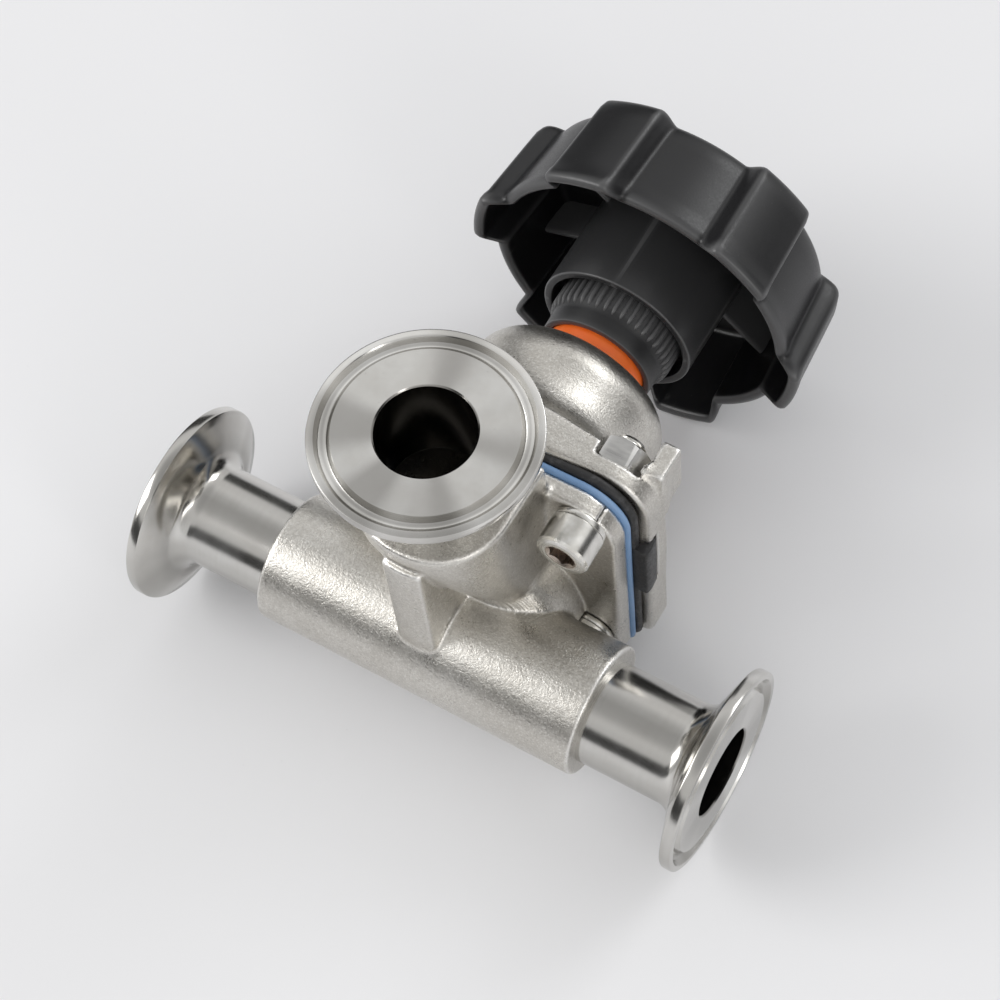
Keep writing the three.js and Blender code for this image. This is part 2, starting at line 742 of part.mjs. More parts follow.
// ---------------------------------------------------------------- spindle
const HUB_SCREW_R = 2.5;
const spindle = cut(
  unite([
    aboutStem([
      [0, SPINDLE_FOOT],
      [SPINDLE_FOOT_R - 0.6, SPINDLE_FOOT],
      [SPINDLE_FOOT_R, SPINDLE_FOOT + 0.6],
      [SPINDLE_FOOT_R, PIN_Y - 1.4],
      [SPINDLE_GROOVE_R, PIN_Y - 1.4],
      [SPINDLE_GROOVE_R, PIN_Y + 1.4],
      [SPINDLE_R, PIN_Y + 1.4],
      [SPINDLE_R, SPINDLE_SHOULDER],
      [0, SPINDLE_SHOULDER],
    ], COARSE),
    box(
      -SPINDLE_SQUARE / 2,
      SPINDLE_SQUARE / 2,
      SPINDLE_SHOULDER - 1,
      SPINDLE_TOP,
      STEM_Z - SPINDLE_SQUARE / 2,
      STEM_Z + SPINDLE_SQUARE / 2,
    ).intersect(aboutStem(disc(SPINDLE_R, SPINDLE_SHOULDER - 2, SPINDLE_TOP + 1), COARSE)),
  ]),
  [aboutStem(disc(HUB_SCREW_R + 0.2, SPINDLE_TOP - 8, SPINDLE_TOP + 1), COARSE)],
);
add('spindle', spindle, screwSteel);

// ---------------------------------------------------------------- splined collar
function splineOutline(root, tip, count) {
  const points = [];
  for (let i = 0; i < count; i += 1) {
    const pitch = 360 / count;
    for (const [share, radius] of [[-0.3, root], [-0.14, tip], [0.14, tip], [0.3, root]]) {
      const angle = degrees((i + share) * pitch);
      points.push([radius * Math.cos(angle), radius * Math.sin(angle)]);
    }
  }
  return points;
}

const collar = cut(
  unite([
    aboutStem([
      [0, COLLAR_LOW],
      [COLLAR_R - 0.4, COLLAR_LOW],
      [COLLAR_R, COLLAR_LOW + 0.4],
      [COLLAR_R, COLLAR_SPLINE_LOW + 1],
      [0, COLLAR_SPLINE_LOW + 1],
    ], FINE),
    plateOnStem(
      splineOutline(SPLINE_ROOT_R, SPLINE_TIP_R, SPLINE_COUNT), COLLAR_SPLINE_LOW, COLLAR_TOP, 0),
  ]),
  [
    aboutStem(disc(COLLAR_BORE_R, COLLAR_LOW - 1, COLLAR_TOP - COLLAR_CROWN), FINE),
    aboutStem(disc(BUSH_BORE_R, COLLAR_LOW, COLLAR_TOP + 1), COARSE),
  ],
);
add('indicator_collar', collar, blackPlastic);

// ---------------------------------------------------------------- handwheel
// The outline swells from the valley radius to the lobe radius six times per turn.
function wheelOutline(inset) {
  const points = [];
  const pitch = 360 / LOBE_COUNT;
  const ramp = LOBE_FOOT_HALF - LOBE_FLAT_HALF;
  const offsets = [];
  const flatSteps = 2;
  const rampSteps = 4;
  for (let i = 0; i < flatSteps; i += 1) {
    offsets.push(-LOBE_FLAT_HALF + (2 * LOBE_FLAT_HALF * i) / flatSteps);
  }
  for (let i = 0; i < rampSteps; i += 1) {
    offsets.push(LOBE_FLAT_HALF + (ramp * i) / rampSteps);
  }
  const valley = pitch - 2 * LOBE_FOOT_HALF;
  const valleySteps = 3;
  for (let i = 0; i < valleySteps; i += 1) {
    offsets.push(LOBE_FOOT_HALF + (valley * i) / valleySteps);
  }
  for (let i = 0; i < rampSteps; i += 1) {
    offsets.push(pitch - LOBE_FOOT_HALF + (ramp * i) / rampSteps);
  }
  for (let lobe = 0; lobe < LOBE_COUNT; lobe += 1) {
    for (const offset of offsets) {
      const fromCentre = Math.min(Math.abs(offset), Math.abs(pitch - offset));
      const t = THREE.MathUtils.clamp((LOBE_FOOT_HALF - fromCentre) / ramp, 0, 1);
      const swell = t * t * (3 - 2 * t);
      const radius = VALLEY_R + (LOBE_R - VALLEY_R) * swell - inset;
      const angle = degrees(LOBE_PHASE + lobe * pitch + offset);
      points.push([radius * Math.cos(angle), radius * Math.sin(angle)]);
    }
  }
  return points;
}

// The outline raised from Y = low to Y = high, drawn in towards the far end by the mould draft.
function wheelBlank(inset, low, high, edge) {
  const geometry = new THREE.ExtrudeGeometry(shapeOf(wheelOutline(inset)), {
    depth: high - low - edge,
    bevelEnabled: edge > 0,
    bevelThickness: edge,
    bevelSize: edge,
    bevelOffset: -edge,
    bevelSegments: 2,
    steps: 1,
  });
  geometry.rotateX(RIGHT_ANGLE);
  geometry.translate(0, high - edge, 0);
  const position = geometry.getAttribute('position');
  for (let i = 0; i < position.count; i += 1) {
    const scale = 1 - WHEEL_DRAFT * (position.getY(i) - LOBE_RIM);
    position.setX(i, position.getX(i) * scale);
    position.setZ(i, position.getZ(i) * scale + STEM_Z);
  }
  return solid(geometry);
}

function handwheel() {
  const belowRim = LOBE_RIM - 6;
  const outer = cut(wheelBlank(0, belowRim, WHEEL_CROWN, CROWN_EDGE), [
    aboutStem(disc(LOBE_R + 10, belowRim - 5, LOBE_RIM), COARSE),
    aboutStem(disc(VALLEY_R + 0.15, belowRim - 5, VALLEY_RIM), FINE),
  ]);
  const hollow = wheelBlank(WALL, belowRim, WHEEL_CROWN - CROWN_THICK, 0);
  const shell = outer.subtract(hollow);

  const hub = aboutStem([
    [0, WEB_LOW],
    [HUB_BORE_R, WEB_LOW],
    [HUB_BORE_R, HUB_LOW + 0.5],
    [HUB_BORE_R + 0.5, HUB_LOW],
    [HUB_R - 0.4, HUB_LOW],
    [HUB_R, HUB_LOW + 0.4],
    [HUB_R, WHEEL_CROWN - CROWN_THICK + 0.6],
    [0, WHEEL_CROWN - CROWN_THICK + 0.6],
  ], MEDIUM);
  const ribs = [];
  for (let i = 0; i < LOBE_COUNT; i += 1) {
    const geometry = new THREE.BoxGeometry(RIB_OUTER_R - HUB_R + 1, WHEEL_CROWN - 1 - RIB_LOW, RIB_THICK);
    geometry.translate((RIB_OUTER_R + HUB_R - 1) / 2, (WHEEL_CROWN - 1 + RIB_LOW) / 2, 0);
    geometry.rotateY(-degrees(LOBE_PHASE + 30 + i * 60));
    geometry.translate(0, 0, STEM_Z);
    ribs.push(solid(geometry));
  }
  const ringWell = aboutStem(
    tube(WELL_WALL_R, HUB_BORE_R, WEB_TOP, WHEEL_CROWN - CROWN_THICK - 0.6), MEDIUM);
  const well = aboutStem([
    [0, WEB_TOP],
    [WELL_R, WEB_TOP],
    [WELL_R, WHEEL_CROWN - 2.6],
    [WELL_WALL_R, WHEEL_CROWN - 2.6],
    [WELL_WALL_R, WHEEL_CROWN + 1],
    [0, WHEEL_CROWN + 1],
  ], MEDIUM);
  const insertSeat = hexagonBody(INSERT_R + 0.15, WEB_LOW - 1, WEB_TOP + 1, 0, STEM_Z);
  const relief = aboutStem(disc(5.4, WEB_LOW - 2, WEB_LOW + 1), COARSE);
  const vents = [];
  for (let i = 0; i < 4; i += 1) {
    const turn = degrees(90 * i + 45);
    const r = (WELL_WALL_R + HUB_BORE_R) / 2;
    const vent = disc(VENT_R, WEB_LOW - 1, WEB_TOP + 1);
    vents.push(aboutY(vent, COARSE, r * Math.cos(turn), STEM_Z + r * Math.sin(turn)));
  }
  return cut(unite([shell, hub, ...ribs]), [ringWell, well, insertSeat, relief, ...vents]);
}
add('handwheel', handwheel(), blackPlastic);

// ---------------------------------------------------------------- hub insert, washer, screw, cap
const insertBody = hexagonBody(INSERT_R, WEB_LOW + 0.2, WEB_TOP, 0, STEM_Z);
const squareHole = SPINDLE_SQUARE / 2 + 0.2;
const insert = insertBody.subtract(box(
  -squareHole, squareHole, WEB_LOW - 1, WEB_TOP + 1, STEM_Z - squareHole, STEM_Z + squareHole));
add('hub_insert', insert, brass);

const washerLow = SPINDLE_TOP + 0.2;
const washerHigh = washerLow + 1.4;
add('hub_washer', aboutStem(tube(HUB_SCREW_R + 0.3, 7.6, washerLow, washerHigh), COARSE), screwSteel);

const hubScrewHigh = washerHigh + 4.0;
const hubScrew = unite([
  hexagonBody(4.9, washerHigh, hubScrewHigh, 0, STEM_Z),
  aboutStem(disc(HUB_SCREW_R, SPINDLE_TOP - 7, washerHigh + 1), COARSE),
]);
add('hub_screw', hubScrew, screwSteel);

const capLow = WHEEL_CROWN - 2.4;
const cap = unite([
  aboutStem([
    [0, capLow],
    [WELL_WALL_R - 0.3, capLow],
    [WELL_WALL_R - 0.3, capLow + 1.8],
    [WELL_WALL_R - 1.1, capLow + 2.4],
    [0, capLow + 2.8],
  ], MEDIUM),
  aboutStem(tube(WELL_R - 1.8, WELL_R - 0.3, capLow - 5, capLow + 0.5), MEDIUM),
]);
add('wheel_cap', cap, blackPlastic);

// ---------------------------------------------------------------- stand it on its own lowest face
valveParts.updateMatrixWorld(true);
const extent = new THREE.Box3().setFromObject(valveParts);
const middle = extent.getCenter(new THREE.Vector3());
for (const mesh of valveParts.children) {
  mesh.geometry.translate(-middle.x, -middle.y, -extent.min.z);
}

export default valveParts;
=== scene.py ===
"""Looks of the three-way diaphragm valve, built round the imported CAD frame.

Shapes are drawn in millimetres with the run pipe along X through the origin, the branch along +Z
and the stem along +Y. placed() then moves a finished mesh to where the CAD has it, in metres.
"""
import math

import bmesh
import bpy
import numpy as np
from mathutils import Matrix, Vector


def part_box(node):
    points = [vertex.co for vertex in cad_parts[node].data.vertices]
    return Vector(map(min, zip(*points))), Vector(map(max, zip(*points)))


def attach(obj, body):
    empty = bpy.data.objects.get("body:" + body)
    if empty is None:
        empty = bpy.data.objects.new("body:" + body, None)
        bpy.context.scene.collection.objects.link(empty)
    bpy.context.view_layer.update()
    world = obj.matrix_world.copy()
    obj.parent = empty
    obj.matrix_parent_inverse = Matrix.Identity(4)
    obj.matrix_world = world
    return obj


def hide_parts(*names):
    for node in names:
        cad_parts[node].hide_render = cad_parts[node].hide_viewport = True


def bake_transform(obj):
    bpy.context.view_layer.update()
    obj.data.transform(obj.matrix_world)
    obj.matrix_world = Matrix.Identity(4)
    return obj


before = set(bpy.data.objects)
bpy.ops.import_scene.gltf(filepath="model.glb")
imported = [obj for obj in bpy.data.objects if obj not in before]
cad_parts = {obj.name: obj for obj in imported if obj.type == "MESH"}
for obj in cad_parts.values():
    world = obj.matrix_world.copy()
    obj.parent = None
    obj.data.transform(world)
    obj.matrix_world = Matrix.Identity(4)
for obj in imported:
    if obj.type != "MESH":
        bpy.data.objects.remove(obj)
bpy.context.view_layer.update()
MM = 0.001

# ------------------------------------------------------------------ sizes, in millimetres
BLOCK_R = 16.4
BLOCK_HALF = 42.6
PIPE_R = 12.7
BORE_R = 11.05
FERRULE_R = 25.25
RUN_HALF = 74.1
BRANCH_Y = 6.6
BRANCH_TOP = 84.1
BOSS_R = 17.8
BOSS_TOP = 58.0
STEM_Z = 17.0
FLANGE_FRONT = 21.4
FLANGE_DROP = 3.4
LOWER_CORNER = 3.0
FLANGE_BACK = 26.4
FACE_BACK = 28.3
BACKING_BACK = 31.0
BONNET_BACK = 39.0
SCREW_X = 27.0
SCREW_Z = 25.8
SCREW_PLACES = [
    (SCREW_X, STEM_Z + SCREW_Z), (-SCREW_X, STEM_Z + SCREW_Z),
    (-SCREW_X, STEM_Z - SCREW_Z), (SCREW_X, STEM_Z - SCREW_Z),
]
SCREW_HOLE_R = 4.4
WASHER_H = 1.5
NUT_SEAT = 35.4
NUT_POCKET_R = 8.2
HEAD_POCKET_R = 7.2
HEAD_POCKET_FRONT = 11.8

# Half width, half height and corner of each bolted outline, seen along the stem.
BODY_FLANGE = (35.2, 31.8, 11.5)
FACE_SHEET = (35.8, 32.3, 11.6)
BACKING_SHEET = (36.4, 32.6, 11.6)
BONNET_FLANGE = (38.5, 33.0, 12.0)

# The body: front rib, throat behind the run block, weir, passages and dish.
RIB_HALF = 5.0
RIB_LOW, RIB_HIGH, RIB_BACK = 5.0, 50.0, 14.0
THROAT_R = 26.0
THROAT_FRONT = 4.8
THROAT_ROUND = 9.0
THROAT_LOW = -12.5
BOWL_BACK = 23.0
BRANCH_BORE_END = 43.5
PASSAGE_R = 8.6
PASSAGE_BACK = 24.0
DISH_R = 19.0
WEIR_TOP = 21.8

# The bonnet: dome, mouth round the neck, ear, tab notch and the cavity for the compressor.
DOME_R = 25.5
DOME_SHOULDER = 57.5
DOME_TOP = 67.4
CROWN_R, CROWN_RISE = 9.8, 9.9
MOUTH_R = 15.5
MOUTH_FLOOR = 65.0
NECK_R = 11.3
NECK_TOP = 77.4
EAR_MIDDLE = (35.3, 42.0, 39.5)
EAR_HALF = (3.2, 4.6, 7.7)
NOTCH_X = 36.9
NOTCH_HALF = 10.5
NOTCH_BACK = 34.3
CAVITY_R, CAVITY_TOP = 19.8, 52.6
SLOT_HALF, SLOT_REACH, SLOT_TOP = 3.2, 22.2, 51.4
BUSH_SEAT_R, BUSH_SEAT_TOP = 11.6, 56.4
SPINDLE_HOLE_R = 8.5

# The body's front and the top of its boss say where the drawing's origin stands in the CAD frame.
_front, _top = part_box("valve_body")[0].y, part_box("valve_body")[1].z
ORIGIN = Vector((0.0, _front + BLOCK_R * MM, _top - BOSS_TOP * MM))


def placed(x, y, z):
    """A drawn point, in metres in the CAD frame."""
    return ORIGIN + Vector((x, y, z)) * MM


def to_cad(x=0.0, y=0.0, z=0.0):
    """The matrix that takes a mesh drawn about a point in millimetres to the CAD frame."""
    return Matrix.Translation(placed(x, y, z)) @ Matrix.Scale(MM, 4)


# ------------------------------------------------------------------ camera
def valve_camera():
    """Looks down on the valve from the front right, slightly rolled."""
    data = bpy.data.cameras.new("valve_camera")
    data.sensor_width = 36.0
    data.lens = 89.755
    data.clip_start = 0.05
    data.clip_end = 20.0
    camera = bpy.data.objects.new("valve_camera", data)
    right = Vector((0.85842, 0.50822, -0.06949))
    down = Vector((0.41828, -0.77195, -0.47868))
    ahead = Vector((-0.29692, 0.38184, -0.87524))
    turn = Matrix((right, -down, -ahead)).transposed().to_4x4()
    camera.matrix_world = Matrix.Translation(placed(172.97, -194.22, 529.18)) @ turn
    bpy.context.scene.collection.objects.link(camera)
    bpy.context.scene.camera = camera


# ------------------------------------------------------------------ node trees for materials
class Finish:
    """A material being built: short calls for its nodes."""

    def __init__(self, name):
        self.material = bpy.data.materials.new(name)
        self.material.use_nodes = True
        self.nodes = self.material.node_tree.nodes
        self.links = self.material.node_tree.links
        self.shader = self.nodes["Principled BSDF"]
        self.place = self.nodes.new("ShaderNodeTexCoord").outputs["Object"]

    def set(self, **values):
        for key, value in values.items():
            self.shader.inputs[key.replace("_", " ")].default_value = value

    def join(self, source, target):
        self.links.new(source, target)

    def feed(self, socket, value):
        if isinstance(value, bpy.types.NodeSocket):
            self.links.new(value, socket)
        else:
            socket.default_value = value

    def mapped(self, centre=(0, 0, 0), scale=(1, 1, 1), turn=(0, 0, 0)):
        """Object coordinates measured from a point."""
        node = self.nodes.new("ShaderNodeMapping")
        node.vector_type = "POINT"
        node.inputs["Location"].default_value = [-c * s for c, s in zip(centre, scale)]
        node.inputs["Scale"].default_value = scale
        node.inputs["Rotation"].default_value = turn
        self.join(self.place, node.inputs["Vector"])
        return node.outputs["Vector"]

    def noise(self, scale, detail=3.0, rough=0.5, vector=None, distortion=0.0):
        node = self.nodes.new("ShaderNodeTexNoise")
        node.inputs["Scale"].default_value = scale
        node.inputs["Detail"].default_value = detail
        node.inputs["Roughness"].default_value = rough
        node.inputs["Distortion"].default_value = distortion
        self.join(vector or self.place, node.inputs["Vector"])
        return node.outputs["Fac"]

    def cells(self, scale, vector=None):
        node = self.nodes.new("ShaderNodeTexVoronoi")
        node.inputs["Scale"].default_value = scale
        self.join(vector or self.place, node.inputs["Vector"])
        return node.outputs["Distance"]

    def ramp(self, value, low, high, to_low=0.0, to_high=1.0, smooth=False):
        node = self.nodes.new("ShaderNodeMapRange")
        node.interpolation_type = "SMOOTHSTEP" if smooth else "LINEAR"
        self.feed(node.inputs["Value"], value)
        node.inputs["From Min"].default_value = low
        node.inputs["From Max"].default_value = high
        node.inputs["To Min"].default_value = to_low
        node.inputs["To Max"].default_value = to_high
        return node.outputs["Result"]

    def math(self, kind, a, b=0.0):
        node = self.nodes.new("ShaderNodeMath")
        node.operation = kind
        self.feed(node.inputs[0], a)
        self.feed(node.inputs[1], b)
        return node.outputs[0]

    def axes(self, vector):
        node = self.nodes.new("ShaderNodeSeparateXYZ")
        self.join(vector, node.inputs[0])
        return node.outputs

    def both(self, *shares):
        """The product of several masks."""
        out = shares[0]
        for share in shares[1:]:
            out = self.math("MULTIPLY", out, share)
        return out

    def from_axis(self, centre, axis):
        """Distance in metres from a line along one axis."""
        return self.length(self.mapped(centre, tuple(0.0 if i == axis else 1.0 for i in range(3))))

    def line(self, value):
        """A vector that varies only with one number, for rings and streaks."""
        node = self.nodes.new("ShaderNodeCombineXYZ")
        self.join(value, node.inputs[0])
        return node.outputs[0]

    def length(self, vector):
        node = self.nodes.new("ShaderNodeVectorMath")
        node.operation = "LENGTH"
        self.join(vector, node.inputs[0])
        return node.outputs["Value"]

    def blend(self, share, a, b):
        node = self.nodes.new("ShaderNodeMix")
        node.data_type = "RGBA"
        self.feed(node.inputs["Factor"], share)
        colours = [s for s in node.inputs if s.type == "RGBA"]
        for socket, value in zip(colours, (a, b)):
            if isinstance(value, bpy.types.NodeSocket):
                self.links.new(value, socket)
            else:
                socket.default_value = (*value, 1.0)
        return [s for s in node.outputs if s.type == "RGBA"][0]

    def edges(self, low, high):
        """How sharply the surface turns outwards: near 1 along sharp edges, where wear and painted edge
        highlights go.
        """
        node = self.nodes.new("ShaderNodeNewGeometry")
        return self.ramp(node.outputs["Pointiness"], low, high, smooth=True)

    def bump(self, height, strength, distance, below=None):
        node = self.nodes.new("ShaderNodeBump")
        node.inputs["Strength"].default_value = strength
        node.inputs["Distance"].default_value = distance
        self.feed(node.inputs["Height"], height)
        if below is not None:
            self.join(below, node.inputs["Normal"])
        return node.outputs["Normal"]

    def done(self, colour=None, roughness=None, normal=None):
        if colour is not None:
            self.join(colour, self.shader.inputs["Base Color"])
        if roughness is not None:
            self.join(roughness, self.shader.inputs["Roughness"])
        if normal is not None:
            self.join(normal, self.shader.inputs["Normal"])
        return self.material


def blasted_steel():
    """Bead-blasted stainless: warm grey, grain with pale specks painted as sparkle, cloudy patches, paler
    sharp edges of wear and painted highlight, painted shade in the bores, cutter arcs.
    """
    f = Finish("bead_blasted_steel")
    f.set(Metallic=1.0)
    cloud = f.noise(38.0, 4.0, 0.6)
    grain = f.noise(2100.0, 2.0, 0.75)
    coarse = f.noise(820.0, 3.0, 0.6)
    handled = f.noise(130.0, 3.0, 0.55)
    base = f.blend(f.ramp(cloud, 0.3, 0.7), (0.56, 0.535, 0.49), (0.67, 0.65, 0.61))
    base = f.blend(f.ramp(coarse, 0.42, 0.68, 0.0, 0.35), base, (0.43, 0.41, 0.375))
    # Pale grain specks: the steel's own grain, painted lighter as sparkle glints.
    base = f.blend(f.ramp(grain, 0.52, 0.72, 0.0, 0.6), base, (0.92, 0.91, 0.88))
    base = f.blend(f.ramp(grain, 0.28, 0.44, 0.35, 0.0), base, (0.30, 0.285, 0.26))
    # Lighter along sharp edges: partly wear, partly painted edge highlights.
    base = f.blend(f.math("MULTIPLY", f.edges(0.515, 0.56), 0.7), base, (0.93, 0.92, 0.90))
    # Painted shade: the run and branch bores are darkened where little light reaches inside them.
    run = f.ramp(f.from_axis(placed(0, 0, 0), 0), 11.3 * MM, 11.9 * MM, 1.0, 0.0)
    above = f.ramp(f.axes(f.place)["Z"], placed(0, 0, 40).z, placed(0, 0, 46).z)
    branch = f.both(f.ramp(f.from_axis(placed(0, BRANCH_Y, 0), 2), 11.3 * MM, 11.9 * MM, 1.0, 0.0), above)
    painted_bore_shade = f.math("MAXIMUM", run, branch)
    colour = f.blend(painted_bore_shade, base, (0.24, 0.23, 0.215))
    parts = f.axes(f.place)
    wide = f.from_axis(placed(0, 0, 0), 1)
    arcs = f.noise(2100.0, 1.0, 0.4, f.line(wide))
    on_throat = f.both(
        f.ramp(wide, 15.5 * MM, 17.5 * MM), f.ramp(wide, 27.5 * MM, 26.2 * MM),
        f.ramp(parts["Y"], placed(0, 4, 0).y, placed(0, 6, 0).y),
        f.ramp(parts["Y"], placed(0, 17, 0).y, placed(0, 14, 0).y))
    rough = f.math("ADD", f.ramp(handled, 0.3, 0.7, 0.27, 0.37), f.ramp(grain, 0.3, 0.7, -0.04, 0.06))
    normal = f.bump(grain, 0.45, 0.0002)
    normal = f.bump(coarse, 0.22, 0.0004, normal)
    normal = f.bump(f.math("MULTIPLY", arcs, on_throat), 0.8, 0.0004, normal)
    return f.done(colour, rough, normal)


def polished_steel(name, centre, axis):
    """Turned and polished: fine rings round the piece's own axis, faint smears, painted dark and light
    sectors of reflection round the axis, painted shade in the bore.
    """
    f = Finish(name)
    f.set(Metallic=1.0, Anisotropic=0.72)
    radius = f.from_axis(centre, axis)
    rings = f.noise(5200.0, 2.0, 0.6, f.line(radius))
    wide = f.noise(420.0, 2.0, 0.5, f.line(radius))
    along = f.noise(800.0, 3.0, 0.6, f.line(f.axes(f.place)[axis]))
    smear = f.noise(75.0, 4.0, 0.6)
    pits = f.cells(330.0)
    base = f.blend(f.ramp(smear, 0.35, 0.7), (0.68, 0.665, 0.635), (0.80, 0.795, 0.775))
    base = f.blend(f.ramp(along, 0.35, 0.7, 0.0, 0.3), base, (0.56, 0.54, 0.50))
    base = f.blend(f.ramp(pits, 0.03, 0.06, 0.5, 0.0), base, (0.40, 0.39, 0.37))
    # Painted reflection: dark and light sectors round the axis stand for the conic highlights of turned
    # metal.
    across = f.mapped(centre, tuple(0.0 if i == axis else 1.0 for i in range(3)))
    unit = f.nodes.new("ShaderNodeVectorMath")
    unit.operation = "NORMALIZE"
    f.join(across, unit.inputs[0])
    painted_reflection_sectors = f.noise(1.15, 1.0, 0.4, unit.outputs[0])
    base = f.blend(f.ramp(painted_reflection_sectors, 0.40, 0.60, 0.75, 0.0, True), base, (0.36, 0.35, 0.33))
    # Painted shade: the bore inside the ferrule is darkened.
    colour = f.blend(f.ramp(radius, 11.2 * MM, 11.5 * MM, 1.0, 0.0), base, (0.26, 0.25, 0.235))
    rough = f.math("ADD", f.ramp(rings, 0.35, 0.65, 0.10, 0.18), f.ramp(smear, 0.3, 0.7, -0.02, 0.05))
    grain_way = f.nodes.new("ShaderNodeTangent")
    grain_way.direction_type = "RADIAL"
    grain_way.axis = "XYZ"[axis]
    f.join(grain_way.outputs[0], f.shader.inputs["Tangent"])
    height = f.math("ADD", rings, f.math("MULTIPLY", wide, 0.6))
    return f.done(colour, rough, f.bump(height, 0.12, 0.00005))


def screw_steel():
    """Machined stainless fasteners: bright, with tool rings and brown film in the sockets."""
    f = Finish("fastener_steel")
    f.set(Metallic=1.0)
    parts = f.axes(f.place)
    beside = f.math("SUBTRACT", f.math("ABSOLUTE", parts["X"]), SCREW_X * MM)
    raised = f.math("ABSOLUTE", f.math("SUBTRACT", parts["Z"], placed(0, 0, STEM_Z).z))
    raised = f.math("SUBTRACT", raised, SCREW_Z * MM)
    squares = f.math("ADD", f.math("MULTIPLY", beside, beside), f.math("MULTIPLY", raised, raised))
    off = f.math("SQRT", squares)
    rings = f.noise(2600.0, 2.0, 0.6, f.line(off))
    patch = f.noise(260.0, 3.0, 0.5)
    base = f.blend(f.ramp(patch, 0.35, 0.65), (0.62, 0.605, 0.565), (0.78, 0.77, 0.74))
    in_head = f.ramp(parts["Y"], placed(0, 17.5, 0).y, placed(0, 17.0, 0).y)
    socket = f.both(f.ramp(off, 4.1 * MM, 3.8 * MM), in_head)
    colour = f.blend(f.math("MULTIPLY", socket, 0.8), base, (0.40, 0.325, 0.27))
    rough = f.ramp(rings, 0.3, 0.7, 0.2, 0.34)
    return f.done(colour, rough, f.bump(rings, 0.2, 0.00006))


def nut_steel():
    f = Finish("nut_steel")
    f.set(Metallic=1.0)
    streak = f.noise(700.0, 3.0, 0.6, f.mapped((0, 0, 0), (0.2, 1.0, 1.0)))
    base = f.blend(f.ramp(streak, 0.3, 0.7), (0.34, 0.335, 0.33), (0.50, 0.495, 0.48))
    # Lighter along sharp edges: partly wear, partly painted edge highlights.
    colour = f.blend(f.edges(0.51, 0.56), base, (0.85, 0.84, 0.82))
    return f.done(colour, f.ramp(streak, 0.3, 0.7, 0.24, 0.42), f.bump(streak, 0.2, 0.00006))


def brass_finish():
    f = Finish("turned_brass")
    f.set(Metallic=1.0)
    patch = f.noise(300.0, 3.0, 0.5)
    colour = f.blend(f.ramp(patch, 0.3, 0.7), (0.62, 0.45, 0.17), (0.74, 0.57, 0.26))
    return f.done(colour, f.ramp(patch, 0.3, 0.7, 0.22, 0.4), f.bump(patch, 0.1, 0.0001))


def sheet_plastic():
    """The blue wetted sheet: smooth, with a paler edge, partly worn and partly a painted edge highlight."""
    f = Finish("blue_sheet")
    f.set(Roughness=0.42)
    cloud = f.noise(190.0, 3.0, 0.5)
    fine = f.noise(1500.0, 2.0, 0.5)
    colour = f.blend(f.ramp(cloud, 0.3, 0.7), (0.085, 0.195, 0.40), (0.125, 0.265, 0.50))
    # Paler along sharp edges: partly wear, partly painted edge highlight.
    colour = f.blend(f.edges(0.51, 0.56), colour, (0.24, 0.38, 0.60))
    return f.done(colour, f.ramp(fine, 0.3, 0.7, 0.34, 0.5), f.bump(fine, 0.12, 0.0001))


def sheet_rubber():
    f = Finish("black_sheet")
    f.set(Roughness=0.5)
    fine = f.noise(1700.0, 3.0, 0.6)
    dust = f.noise(420.0, 4.0, 0.65)
    colour = f.blend(f.ramp(dust, 0.52, 0.72, 0.0, 0.7), (0.018, 0.018, 0.019), (0.075, 0.075, 0.078))
    return f.done(colour, f.ramp(fine, 0.3, 0.7, 0.36, 0.6), f.bump(fine, 0.25, 0.00012))


def ring_plastic():
    f = Finish("orange_ring")
    f.set(Roughness=0.35, Subsurface_Weight=0.08)
    cloud = f.noise(240.0, 3.0, 0.5)
    colour = f.blend(f.ramp(cloud, 0.3, 0.7), (1.0, 0.15, 0.016), (1.0, 0.19, 0.03))
    return f.done(colour, f.ramp(cloud, 0.3, 0.7, 0.28, 0.44), f.bump(cloud, 0.06, 0.0002))


def wheel_plastic(name, tone, sheen_rough):
    """Charcoal moulded plastic: satin, finely textured, pale scuffs, a few dust specks and lighter rim
    edges, partly wear and partly painted highlight.
    """
    f = Finish(name)
    f.set(Specular_IOR_Level=0.5)
    cloud = f.noise(60.0, 4.0, 0.6)
    fine = f.noise(2100.0, 3.0, 0.6)
    rubbed = f.noise(150.0, 6.0, 0.72, f.mapped((0, 0, 0), (1.0, 0.45, 1.0)))
    speck = f.cells(520.0)
    where = f.noise(28.0, 2.0, 0.5)
    dark = tuple(c * 0.86 for c in tone)
    base = f.blend(f.ramp(cloud, 0.3, 0.7), dark, tone)
    scuff = f.math("MULTIPLY", f.ramp(rubbed, 0.63, 0.72), f.ramp(where, 0.5, 0.62))
    base = f.blend(f.math("MULTIPLY", scuff, 0.35), base, (0.13, 0.127, 0.118))
    dusty = f.math("MULTIPLY", f.ramp(speck, 0.035, 0.06, 1.0, 0.0), f.ramp(where, 0.42, 0.6))
    base = f.blend(f.math("MULTIPLY", dusty, 0.5), base, (0.22, 0.22, 0.22))
    # Painted highlight: sharp rim edges are lighter, partly as wear.
    colour = f.blend(f.math("MULTIPLY", f.edges(0.51, 0.55), 0.6), base, (0.12, 0.12, 0.122))
    rough = f.math("ADD", f.ramp(fine, 0.3, 0.7, sheen_rough - 0.05, sheen_rough + 0.07),
                   f.math("MULTIPLY", scuff, 0.2))
    normal = f.bump(fine, 0.10, 0.00008)
    return f.done(colour, rough, normal)


